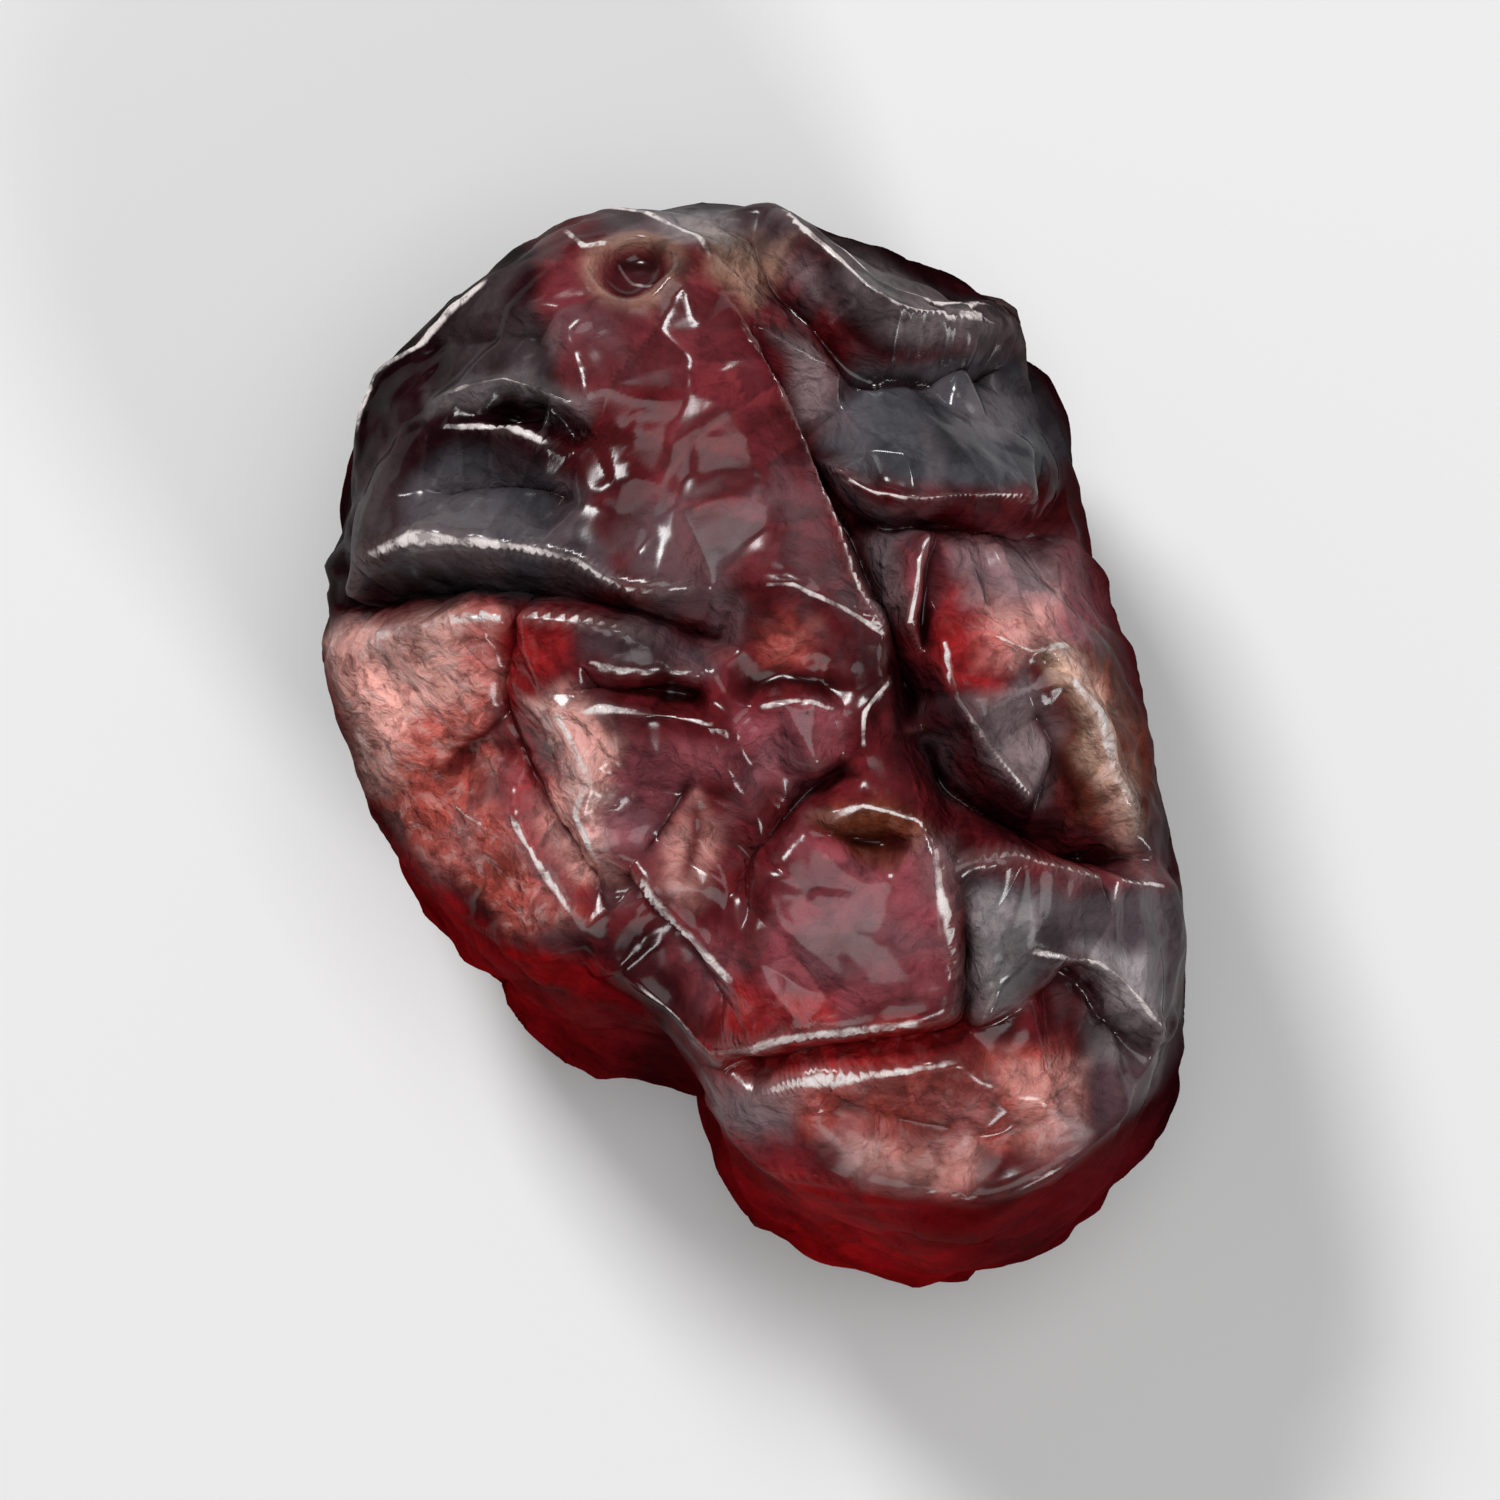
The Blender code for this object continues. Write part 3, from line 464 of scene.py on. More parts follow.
# Lights: name, width and place in metres
LIGHTS = (
    ("key", 0.05, (-0.08, 0.14, 0.17)),
    ("low", 0.045, (0.1, -0.13, 0.13)),
    ("overhead", 0.16, (0.03, 0.02, 0.3)),
)
# The camera's lens in mm, and the nearest and farthest it sees in metres
LENS = 300
CLIPS = (0.01, 5)


def length_setting(name, description, default):
    """A length in metres for the panel."""
    return FloatProperty(
        name=name, description=description, default=default, unit="LENGTH", subtype="DISTANCE"
    )


def power_setting(name, description, default):
    """A light's power in watts for the panel."""
    return FloatProperty(name=name, description=description, default=default, min=0, unit="POWER")


def colour_setting(name, description, default):
    """A colour for the panel."""
    return FloatVectorProperty(
        name=name, description=description, default=default, size=3, min=0, max=1, subtype="COLOR"
    )


class CranberrySkinSettings(PropertyGroup):
    """Sizes and colours of the berry."""

    length: length_setting("Length", "Size of the berry along Y", CAD_SIZE.y)
    width: length_setting("Width", "Size of the berry along X", CAD_SIZE.x)
    height: length_setting("Height", "Size of the berry from its foot up", CAD_SIZE.z)
    fineness: IntProperty(
        name="Fineness",
        description="Number of faces along each side of the skin's grid",
        default=128,
        min=16,
        max=128,
    )
    tautness: FloatProperty(
        name="Tautness",
        description="How far the skin pulls in between its folds",
        default=0.42,
        min=0,
        max=1,
        subtype="FACTOR",
    )
    fold_width: length_setting("Fold Width", "Width of the skin that each fold grips", 0.00009)
    cleft_closing: FloatProperty(
        name="Cleft Closing",
        description="How far the lips of a cleft close over it",
        default=0.55,
        min=0,
        max=0.9,
        subtype="FACTOR",
    )
    crumple: FloatProperty(
        name="Crumple",
        description="Height of the facets between the folds",
        default=1.0,
        min=0,
        max=2,
        subtype="FACTOR",
    )
    dark: colour_setting("Dark", "Colour of the thickest skin", (0.014, 0.0025, 0.004))
    maroon: colour_setting("Maroon", "Colour of most of the upper face", (0.10, 0.009, 0.012))
    red: colour_setting("Red", "Colour of the skin that light shines through", (0.34, 0.013, 0.014))
    rose: colour_setting("Rose", "Colour of the thin skin on the lobes", (0.58, 0.11, 0.085))
    cream: colour_setting("Cream", "Colour of the dry thin skin on the lobes", (0.80, 0.38, 0.33))
    mauve: colour_setting("Mauve", "Colour of the dull skin on the middle facets", (0.25, 0.06, 0.075))
    # Partly painted sheen: this grey is the shoulders' dark skin with painted sheen in it
    charcoal: colour_setting("Charcoal", "Colour of the grey skin on the shoulders", (0.058, 0.058, 0.066))
    # Painted sheen: the palest grey stands in for sheen on the skin
    painted_sheen_grey: colour_setting("Ash", "Colour of the palest grey skin", (0.29, 0.26, 0.27))
    brown: colour_setting(
        "Brown", "Colour of the small pit and of the painted golden highlight's edges", (0.16, 0.04, 0.018)
    )
    # Tan is the dry rims of the scars and also a painted highlight down the golden ridge
    tan: colour_setting(
        "Tan", "Colour of the dry rims of the scars and of the painted golden highlight", (0.58, 0.40, 0.28)
    )


class CranberryStageSettings(PropertyGroup):
    """Floor, light and camera."""

    floor_width: length_setting("Floor Width", "Side of the floor", 0.9)
    floor_colour: colour_setting("Floor Colour", "Colour of the pale floor", (0.86, 0.86, 0.86))
    frame_width: length_setting("Frame Width", "Width of the view at the berry", 0.0205)
    key_power: power_setting("Key Power", "Power of the light beyond the stem end", 0.34)
    low_power: power_setting("Low Power", "Power of the light before the flower end", 0.13)
    overhead_power: power_setting("Overhead Power", "Power of the broad light straight above", 0.27)
    surround: FloatProperty(
        name="Surround",
        description="Brightness of the light from all round",
        default=0.08,
        min=0,
        max=2,
    )


def curve_through(points, step):
    """Points every step along a line through the given points, its bends rounded a little."""
    points = np.asarray(points, float)
    padded = np.vstack([2 * points[0] - points[1], points, 2 * points[-1] - points[-2]])
    placed = []
    for before, start, end, after in zip(padded, padded[1:], padded[2:], padded[3:]):
        count = max(2, math.ceil(np.linalg.norm(end - start) / step))
        t = np.arange(count)[:, None] / count
        curved = 0.5 * (
            2 * start
            + (end - before) * t
            + (2 * before - 5 * start + 4 * end - after) * t**2
            + (3 * start - before - 3 * end + after) * t**3
        )
        straight = start + (end - start) * t
        placed.append(straight + ROUNDED_BENDS * (curved - straight))
    return np.vstack([*placed, points[-1:]])


def plan_radius(azimuth):
    """The outline's distance from the middle, seen from above, at each azimuth in radians."""
    count = len(PLAN_RADII)
    place = (azimuth / (2 * math.pi) * count) % count
    first = np.floor(place).astype(int)
    t = place - first
    before, start, end, after = (np.take(PLAN_RADII, first + k, mode="wrap") for k in (-1, 0, 1, 2))
    return 0.5 * (
        2 * start
        + (end - before) * t
        + (2 * before - 5 * start + 4 * end - after) * t**2
        + (3 * start - before - 3 * end + after) * t**3
    )


def smooth_berry(directions):
    """The squashed berry without folds: where each direction of the unit sphere lies on it."""
    azimuth = np.arctan2(directions[:, 1], directions[:, 0])
    sine = np.clip(directions[:, 2], -1, 1)
    cosine = np.sqrt(1 - sine**2)
    upper = sine > 0
    squareness = np.where(upper, CROWN_SQUARENESS, FOOT_SQUARENESS)
    height = np.where(upper, CROWN_HEIGHT, FOOT_DEPTH)
    reach = cosine ** (2 / squareness)
    rise = np.sign(sine) * np.abs(sine) ** (2 / squareness) * height
    rise -= np.where(upper, CROWN_DISH * (1 - reach**2) ** 2, 0)
    lean = np.clip(rise / CROWN_HEIGHT, 0, 1)
    radius = plan_radius(azimuth) * reach
    return np.column_stack(
        [
            radius * np.cos(azimuth) + lean * CROWN_LEAN[0],
            radius * np.sin(azimuth) + lean * CROWN_LEAN[1],
            rise + GIRTH_HEIGHT,
        ]
    )


def grid_sphere(fineness):
    """A mesh of a cube's six grids blown up to a unit sphere, with its points and edges."""
    grid = bmesh.new()
    bmesh.ops.create_cube(grid, size=2.0)
    bmesh.ops.subdivide_edges(grid, edges=grid.edges, cuts=fineness - 1, use_grid_fill=True)
    mesh = bpy.data.meshes.new("cranberry_skin")
    grid.to_mesh(mesh)
    grid.free()
    points = np.empty(len(mesh.vertices) * 3)
    mesh.vertices.foreach_get("co", points)
    points = np.tan(points.reshape(-1, 3) * math.pi / 4)
    points /= np.linalg.norm(points, axis=1)[:, None]
    points[:, 2] += FINER_TOP
    points /= np.linalg.norm(points, axis=1)[:, None]
    edges = np.empty(len(mesh.edges) * 2, int)
    mesh.edges.foreach_get("vertices", edges)
    return mesh, points, edges.reshape(-1, 2)


def normals_of(mesh, points):
    """Outward normals of the mesh with its vertices at these points."""
    mesh.vertices.foreach_set("co", points.ravel())
    mesh.update()
    normals = np.empty(len(points) * 3)
    mesh.vertex_normals.foreach_get("vector", normals)
    return normals.reshape(-1, 3)


def on_upper_face(plan, smooth, directions):
    """The skin's points straight above the given plan points."""
    upper = smooth[directions[:, 2] > LOWEST_UPPER]
    placed = []
    for spot in plan:
        away = upper[:, :2] - spot
        nearest = np.argpartition((away**2).sum(axis=1), PLANE_POINTS)[:PLANE_POINTS]
        sloped = np.column_stack([np.ones(PLANE_POINTS), away[nearest]])
        placed.append([*spot, np.linalg.lstsq(sloped, upper[nearest, 2], rcond=None)[0][0]])
    return np.array(placed)


def at_angles(angles):
    """The skin's points at the given azimuths and elevations in degrees, seen from the middle."""
    azimuth, elevation = np.radians(angles).T
    rays = np.column_stack(
        [np.cos(azimuth) * np.cos(elevation), np.sin(azimuth) * np.cos(elevation), np.sin(elevation)]
    )
    return smooth_berry(rays)


def wall_folds():
    """Folds down the wall, in turn a valley and a ridge, and folds that fan out over the underside."""
    draw = random.Random(SEED)
    folds = []
    for _, (top_azimuth, bottom_azimuth), (top, bottom), height in WALL_CLEFTS:
        folds.append((height, ((top_azimuth, top), (bottom_azimuth, bottom))))
    for index in range(WALL_FOLDS):
        azimuth = 360 * (index + draw.uniform(-FOLD_STRAY, FOLD_STRAY)) / WALL_FOLDS
        swing = draw.uniform(-WALL_SWING, WALL_SWING)
        top, bottom = draw.uniform(*WALL_TOPS), draw.uniform(*WALL_BOTTOMS)
        middle = (azimuth + WALL_BEND * swing, 0.5 * (top + bottom))
        deepest = DEEPEST_SMOOTHER if SMOOTHER_WALL[0] < azimuth < SMOOTHER_WALL[1] else DEEPEST_VALLEY
        height = -draw.uniform(*WALL_RIDGES) if index % 2 else -draw.uniform(*WALL_VALLEYS) * deepest
        folds.append((height, ((azimuth, top), middle, (azimuth + swing, bottom))))
    for index in range(UNDERSIDE_FOLDS):
        azimuth = 360 * (index + draw.uniform(-FOLD_STRAY, FOLD_STRAY)) / UNDERSIDE_FOLDS
        swing = draw.uniform(-UNDERSIDE_SWING, UNDERSIDE_SWING)
        inner, outer = draw.uniform(*UNDERSIDE_INNER), draw.uniform(*UNDERSIDE_OUTER)
        middle = (azimuth + UNDERSIDE_BEND * swing, 0.5 * (inner + outer))
        height = -draw.uniform(*UNDERSIDE_DEPTHS)
        folds.append((height, ((azimuth, inner), middle, (azimuth + swing, outer))))
    return folds


def all_folds(smooth, directions):
    """Every fold as its height and its points on the skin."""
    placed = []
    for _, height, plan in UPPER_FOLDS:
        line = curve_through(plan, FOLD_STEP)
        placed.append((height, on_upper_face(line, smooth, directions)))
    for height, angles in wall_folds():
        line = curve_through(angles, ANGLE_STEP)
        placed.append((height, at_angles(line)))
    return placed


def near_line(points, line, reach):
    """The points within reach of a line: indices, distances, shares of the way along and ways across."""
    low, high = line.min(axis=0) - reach, line.max(axis=0) + reach
    near = np.flatnonzero(((points > low) & (points < high)).all(axis=1))
    nearest = np.linalg.norm(points[near, None, :] - line[None, :, :], axis=2).argmin(axis=1)
    along = np.gradient(line, axis=0)
    along = (along / np.linalg.norm(along, axis=1)[:, None])[nearest]
    across = points[near] - line[nearest]
    inner = (nearest > 0) & (nearest < len(line) - 1)
    across -= along * ((across * along).sum(axis=1) * inner)[:, None]
    return near, np.linalg.norm(across, axis=1), nearest / (len(line) - 1), across


def stretch_skin(smooth, normals, edges, folds, fold_width, tautness):
    """The skin stretched over the folds: each point settles between its neighbours, the smooth berry below
    it and the folds that grip it."""
    grip = np.zeros(len(smooth))
    pull = np.zeros(len(smooth))
    for height, line in folds:
        near, apart, share, _ = near_line(smooth, line, FOLD_REACH * fold_width)
        taper = np.clip(np.minimum(share, 1 - share) / FOLD_TAPER, LEAST_TAPER, 1)
        hold = FOLD_GRIP * taper**2 * np.exp(-((apart / fold_width) ** 2))
        grip[near] += hold
        pull[near] += hold * height * (END_DEPTH + (1 - END_DEPTH) * taper)
    held_at = smooth + normals * (pull / np.maximum(grip, 1e-12))[:, None]
    spacing = np.linalg.norm(smooth[edges[:, 0]] - smooth[edges[:, 1]], axis=1).mean()
    base_grip = BASE_GRIP * (spacing / GIVE_LENGTH) ** 2
    return solve_balance(smooth, held_at, grip, base_grip, edges, tautness)


def neighbour_pull(points, edges):
    """The sum, over each point's neighbours, of the way from the neighbour to the point."""
    apart = points[edges[:, 0]] - points[edges[:, 1]]
    pulled = np.empty_like(points)
    for axis in range(3):
        pulled[:, axis] = np.bincount(edges[:, 0], apart[:, axis], len(points))
        pulled[:, axis] -= np.bincount(edges[:, 1], apart[:, axis], len(points))
    return pulled


def solve_balance(smooth, held_at, grip, base_grip, edges, tautness):
    """Conjugate gradients on the balance of the skin's pulls."""
    valence = np.bincount(edges.ravel(), minlength=len(smooth))
    own = (grip + base_grip)[:, None]
    scale = 1 / (own + valence[:, None])
    wanted = (1 - tautness) * neighbour_pull(smooth, edges) + base_grip * smooth + grip[:, None] * held_at
    skin = smooth.copy()
    rest = wanted - neighbour_pull(skin, edges) - own * skin
    way = scale * rest
    size = (rest * way).sum(axis=0)
    goal = size * SOLVER_GOAL**2
    for _ in range(SOLVER_STEPS):
        moved = neighbour_pull(way, edges) + own * way
        step = size / (way * moved).sum(axis=0)
        skin += step * way
        rest -= step * moved
        scaled = scale * rest
        new_size = (rest * scaled).sum(axis=0)
        if (new_size < goal).all():
            break
        way = scaled + new_size / size * way
        size = new_size
    return skin


def close_clefts(skin, smooth, normals, folds, closing):
    """The skin with the lips of each deep cleft drawn together over it."""
    moved = skin.copy()
    for height, line in folds:
        if height > CLEFT_HEIGHT:
            continue
        reach = CLEFT_REACH * min(1.0, -height)
        near, apart, share, across = near_line(smooth, line, LINE_REACH * reach)
        taper = np.clip(np.minimum(share, 1 - share) / CLEFT_TAPER, 0, 1)
        across -= normals[near] * (across * normals[near]).sum(axis=1)[:, None]
        moved[near] -= across * (closing * taper * np.exp(-((apart / reach) ** 2)))[:, None]
    return moved


def scattered(count, draw):
    """Directions spread unevenly around the unit sphere."""
    placed = []
    for index in range(count):
        z = 1 - 2 * (index + 0.5) / count
        turn = index * math.pi * (3 - math.sqrt(5))
        ring = math.sqrt(1 - z * z)
        way = Vector((ring * math.cos(turn), ring * math.sin(turn), z))
        way += Vector([draw.gauss(0, CORNER_SCATTER / math.sqrt(count)) for _ in range(3)])
        placed.append(way.normalized())
    return placed


def flat_between(directions, corners, heights):
    """Heights around the unit sphere that change evenly from each corner to the corners next to it, and the
    number of the facet that each direction falls in."""
    mesh = bmesh.new()
    for corner in corners:
        mesh.verts.new(corner)
    bmesh.ops.convex_hull(mesh, input=mesh.verts)
    mesh.verts.index_update()
    tree = BVHTree.FromBMesh(mesh)
    faces = []
    for face in mesh.faces:
        faces.append(([vert.co for vert in face.verts], [heights[vert.index] for vert in face.verts]))
    lift = np.zeros(len(directions))
    facet = np.zeros(len(directions), int)
    for index, direction in enumerate(directions):
        place, _, facet[index], _ = tree.ray_cast(Vector(direction) * 2, -Vector(direction))
        points, values = faces[facet[index]]
        lift[index] = sum(share * value for share, value in zip(poly_3d_calc(points, place), values))
    mesh.free()
    return lift, facet


def tree_of(points):
    """A tree that finds the nearest of the points."""
    tree = KDTree(len(points))
    for index, point in enumerate(points):
        tree.insert(point, index)
    tree.balance()
    return tree


def facet_skin(smooth, normals, directions, folds, hanging):
    """The skin as flat facets between the folds and scattered corners, which keep to the hanging skin, and a
    random shade for each facet."""
    draw = random.Random(SEED)
    depth = ((hanging - smooth) * normals).sum(axis=1)
    tree = tree_of(smooth)
    places, corners, heights = [], [], []
    for height, line in folds:
        length = np.linalg.norm(np.diff(line, axis=0), axis=1).sum()
        count = max(3, round(length / CORNER_SPACING) + 1)
        for share in np.linspace(0, 1, count):
            place = line[round(share * (len(line) - 1))]
            near = [index for _, index, _ in tree.find_n(place, CORNER_POINTS)]
            hold = math.sqrt(min(1.0, min(share, 1 - share) / FOLD_TAPER))
            level = depth[near[0]] + (height - depth[near[0]]) * hold
            apart = np.linalg.norm(np.array(places).reshape(-1, 3) - place, axis=1)
            if len(apart) and apart.min() < CORNER_GAP:
                heights[apart.argmin()] = min(level, heights[apart.argmin()])
                continue
            spread_out = np.vstack([smooth[near].T, np.ones(CORNER_POINTS)])
            shares = np.linalg.lstsq(spread_out, [*place, 1], rcond=None)[0]
            places.append(place)
            corners.append(Vector(shares @ directions[near]).normalized())
            heights.append(level)
    held = tree_of(places)
    for way in scattered(SCATTERED_CORNERS, draw):
        place, index, _ = tree.find(smooth_berry(np.array([way]))[0])
        if held.find(place)[2] > CORNER_SPACING:
            corners.append(Vector(directions[index]))
            heights.append(depth[index] + draw.uniform(-1, 1) * CORNER_LIFT)
    lift, facet = flat_between(directions, corners, heights)
    shades = np.array([draw.random() for _ in range(facet.max() + 1)])
    return smooth + normals * lift[:, None], shades[facet]


def is_ridge(height):
    """Whether a fold of this height is a ridge, which is pinched and painted with shine."""
    return height > RIDGE_HEIGHT


def is_groove(height):
    """Whether a fold of this height is a groove, painted with a line of shade."""
    return height < GROOVE_HEIGHT


def line_strength(points, folds, kept, width):
    """How close each point is to a fold whose height is kept: 1 on the line, fading with distance."""
    strength = np.zeros(len(points))
    for height, line in folds:
        if kept(height):
            near, apart, share, _ = near_line(points, line, LINE_REACH * width)
            taper = np.clip(np.minimum(share, 1 - share) / FOLD_TAPER, 0, 1)
            strength[near] = np.maximum(strength[near], taper * np.exp(-((apart / width) ** 2)))
    return strength


def beside_line(points, normals, folds, kept, reach):
    """How far each point lies to one side of the nearest kept fold: 0.5 on its line, 0 and 1 at reach."""
    beside = np.full(len(points), reach)
    for height, line in folds:
        if kept(height):
            near, apart, share, across = near_line(points, line, reach)
            along = np.gradient(line, axis=0)[np.round(share * (len(line) - 1)).astype(int)]
            side = np.sign((np.cross(along, across) * normals[near]).sum(axis=1))
            closer = apart < np.abs(beside[near])
            beside[near[closer]] = (side * apart)[closer]
    return 0.5 + np.clip(beside, -reach, reach) / (2 * reach)


def crumple(mesh, skin, directions, strength):
    """The skin lifted in and out by several sizes of facets."""
    lift = np.zeros(len(skin))
    for count, (above, below), seed in CRUMPLES:
        draw = random.Random(seed)
        corners = scattered(count, draw)
        heights = [draw.uniform(-1, 1) * (above + (below - above) * (0.5 - 0.5 * way.z)) for way in corners]
        lift += flat_between(directions, corners, heights)[0]
    return skin + normals_of(mesh, skin) * lift[:, None] * strength


def eased(points, edges, rounds):
    """The points with each one moved half way to the middle of its neighbours, several times over."""
    valence = np.bincount(edges.ravel(), minlength=len(points))[:, None]
    for _ in range(rounds):
        points = points - 0.5 * neighbour_pull(points, edges) / valence
    return points


def sink_scar(skin, normals, edges, middle, scar):
    """The skin with a scar, a sunken disc in a raised uneven ring, and how far each point is in the ring."""
    uneven = np.array([noise.noise(Vector(point) * SCAR_UNEVENNESS[0]) for point in skin])
    apart = np.linalg.norm(skin - middle, axis=1) / scar["radius"] + SCAR_UNEVENNESS[1] * uneven
    ring = np.exp(-(((apart - 1) / RING_WIDTH) ** 2))
    bowl = np.exp(-((apart / BOWL_WIDTH) ** 4))
    outward = normals[apart < FACING_WIDTH].mean(axis=0)
    outward /= np.linalg.norm(outward)
    calm = np.exp(-((apart / CALM_WIDTH) ** 4))[:, None]
    skin = skin + (eased(skin, edges, CALMING_ROUNDS) - skin) * calm
    return skin + outward * scar["depth"] * (RING_SHARE * ring - bowl)[:, None], ring


def rising(values, low, high):
    """Values mapped smoothly to 0 below the first limit and 1 above the second."""
    share = np.clip((values - low) / (high - low), 0, 1)
    return share * share * (3 - 2 * share)


def inside_outline(plan, outline, softness=PATCH_SOFTNESS):
    """How much of each plan point lies inside an outline, soft at its edge."""
    nearest = np.full(len(plan), np.inf)
    within = np.zeros(len(plan), bool)
    for start, end in zip(outline, np.roll(outline, -1, axis=0)):
        way = end - start
        share = np.clip(((plan - start) @ way) / (way @ way), 0, 1)
        nearest = np.minimum(nearest, np.linalg.norm(plan - start - share[:, None] * way, axis=1))
        if start[1] != end[1]:
            crossing = start[0] + (plan[:, 1] - start[1]) / way[1] * way[0]
            between = (start[1] > plan[:, 1]) != (end[1] > plan[:, 1])
            within ^= between & (plan[:, 0] < crossing)
    return rising(np.where(within, nearest, -nearest), -softness / 2, softness / 2)


def skin_colours(settings, skin, directions, upper):
    """The colour of each point of the skin, and how crinkled and glossy it is there."""
    azimuth = np.degrees(np.arctan2(skin[:, 1], skin[:, 0]))
    glow = np.zeros(len(skin))
    for middle, reach, strength in WALL_GLOWS:
        apart = (azimuth - middle + 180) % 360 - 180
        glow = np.maximum(glow, strength * np.exp(-((apart / reach) ** 2)))
    glow *= rising(directions[:, 2], *GLOW_RISE)
    dark, maroon, red = (np.array(getattr(settings, name)) for name in ("dark", "maroon", "red"))
    deep_red = red * GLOW_TINT
    wall = dark + (deep_red - dark) * glow[:, None]
    face = np.tile(maroon, (len(skin), 1))
    character = np.tile(CHARACTER["maroon"], (len(skin), 1))
    noise.seed_set(SEED)
    wander = [noise.turbulence_vector(Vector(point) * PATCH_SCALE, PATCH_DETAIL, False)[:2] for point in skin]
    plan = skin[:, :2] + PATCH_WANDER * np.array(wander)
    for _, name, strength, outline in PATCHES:
        share = strength * inside_outline(plan, np.array(outline))
        face += (np.array(getattr(settings, name)) - face) * share[:, None]
        character += (CHARACTER[name] - character) * share[:, None]
    character = WALL_CHARACTER + (character - WALL_CHARACTER) * upper[:, None]
    return wall + (face - wall) * upper[:, None], character


def store_attribute(mesh, name, values):
    """Keeps one number for each point of the mesh, for its material to read."""
    attribute = mesh.attributes.new(name, "FLOAT", "POINT")
    attribute.data.foreach_set("value", np.asarray(values, np.float32))


def store_colours(mesh, name, colours):
    """Keeps one colour for each point of the mesh, for its material to read."""
    attribute = mesh.attributes.new(name, "FLOAT_COLOR", "POINT")
    opaque = np.column_stack([colours, np.ones(len(colours))])
    attribute.data.foreach_set("color", np.asarray(opaque, np.float32).ravel())


def add_node(tree, kind, settings=None, **inputs):
    """Adds a node, sets its options and sets or links its inputs, which are named with _ for each space."""
    made = tree.nodes.new(kind)
    for name, value in (settings or {}).items():
        setattr(made, name, value)
    for name, value in inputs.items():
        numbered = name[0] == "i" and name[1:].isdigit()
        socket = made.inputs[int(name[1:]) if numbered else name.replace("_", " ")]
        if isinstance(value, bpy.types.NodeSocket):
            tree.links.new(value, socket)
        else:
            socket.default_value = value
    return made


def mixed(tree, share, first, second, blend="MIX"):
    """A colour between two colours."""
    made = tree.nodes.new("ShaderNodeMix")
    made.data_type = "RGBA"
    made.blend_type = blend
    for socket, value in ((made.inputs[0], share), (made.inputs[6], first), (made.inputs[7], second)):
        if isinstance(value, bpy.types.NodeSocket):
            tree.links.new(value, socket)
        else:
            socket.default_value = value
    return made.outputs[2]


def spread(tree, value, low, high, to_low=0.0, to_high=1.0):
    """A value mapped smoothly from one range to another."""
    smooth = {"interpolation_type": "SMOOTHSTEP"}
    made = add_node(tree, "ShaderNodeMapRange", smooth, Value=value, i1=low, i2=high, i3=to_low, i4=to_high)
    return made.outputs[0]


def combined(tree, operation, first, second):
    """Two values put together by a math node."""
    return add_node(tree, "ShaderNodeMath", {"operation": operation}, i0=first, i1=second).outputs[0]


def attribute_value(tree, name):
    """A number that the mesh keeps for each point."""
    return add_node(tree, "ShaderNodeAttribute", {"attribute_name": name}).outputs["Fac"]


def crinkle_group():
    """Fine crinkles of dried skin: their height, small flecks and a broader mottling."""
    tree = bpy.data.node_groups.new("dried_crinkles", "ShaderNodeTree")
    interface = tree.interface
    for name, default in CRINKLE_SCALES.items():
        socket = interface.new_socket(name, in_out="INPUT", socket_type="NodeSocketFloat")
        socket.default_value = default
    for name in ("Height", *NOISES):
        interface.new_socket(name, in_out="OUTPUT", socket_type="NodeSocketFloat")
    inside = tree.nodes.new("NodeGroupInput")
    outside = tree.nodes.new("NodeGroupOutput")
    place = add_node(tree, "ShaderNodeTexCoord").outputs["Object"]
    warp = add_node(tree, "ShaderNodeTexNoise", Vector=place, Scale=WARP_SCALE, Detail=3.0)
    warped = add_node(tree, "ShaderNodeVectorMath", {"operation": "MULTIPLY_ADD"}, i0=warp.outputs["Color"])
    warped.inputs[1].default_value = (WARP_REACH, WARP_REACH, WARP_REACH)
    tree.links.new(place, warped.inputs[2])
    warped = warped.outputs[0]
    waves = add_node(tree, "ShaderNodeTexNoise", Vector=warped, Scale=WAVE_SCALE, Detail=5.0, Roughness=0.6)
    height = combined(tree, "MULTIPLY", waves.outputs["Fac"], WAVE_SHARE)
    for name, share in zip(CRINKLE_SCALES, CRINKLE_SHARES):
        cells = add_node(tree, "ShaderNodeTexVoronoi", Vector=warped, Scale=inside.outputs[name])
        height = combined(tree, "ADD", height, combined(tree, "MULTIPLY", cells.outputs["Distance"], share))
    tree.links.new(height, outside.inputs["Height"])
    for name, (scale, detail, roughness) in NOISES.items():
        found = add_node(tree, "ShaderNodeTexNoise", Vector=warped, Scale=scale, Detail=detail)
        found.inputs["Roughness"].default_value = roughness
        tree.links.new(found.outputs["Fac"], outside.inputs[name])
    return tree


def scaled(tree, first, second):
    """Two values multiplied."""
    return combined(tree, "MULTIPLY", first, second)


def painted_glint_of(tree, mottle, flecks):
    """How much of the ridges' broken painted shine lies at each place."""
    aside = combined(tree, "SUBTRACT", attribute_value(tree, "beside_ridge"), 0.5)
    aside = add_node(tree, "ShaderNodeMath", {"operation": "ABSOLUTE"}, i0=aside).outputs[0]
    wavering = scaled(tree, aside, spread(tree, mottle, *MOTTLE_TO_WAVER))
    edge = GLINT_WIDTH / (2 * BESIDE_REACH)
    glint = spread(tree, wavering, edge, GLINT_SHARPNESS * edge)
    glint = scaled(tree, glint, spread(tree, attribute_value(tree, "glint"), *NEARNESS_TO_GLINT))
    glint = scaled(tree, glint, spread(tree, mottle, *MOTTLE_TO_GLINT))
    return scaled(tree, glint, spread(tree, flecks, *NOISE_TO_GLINT))


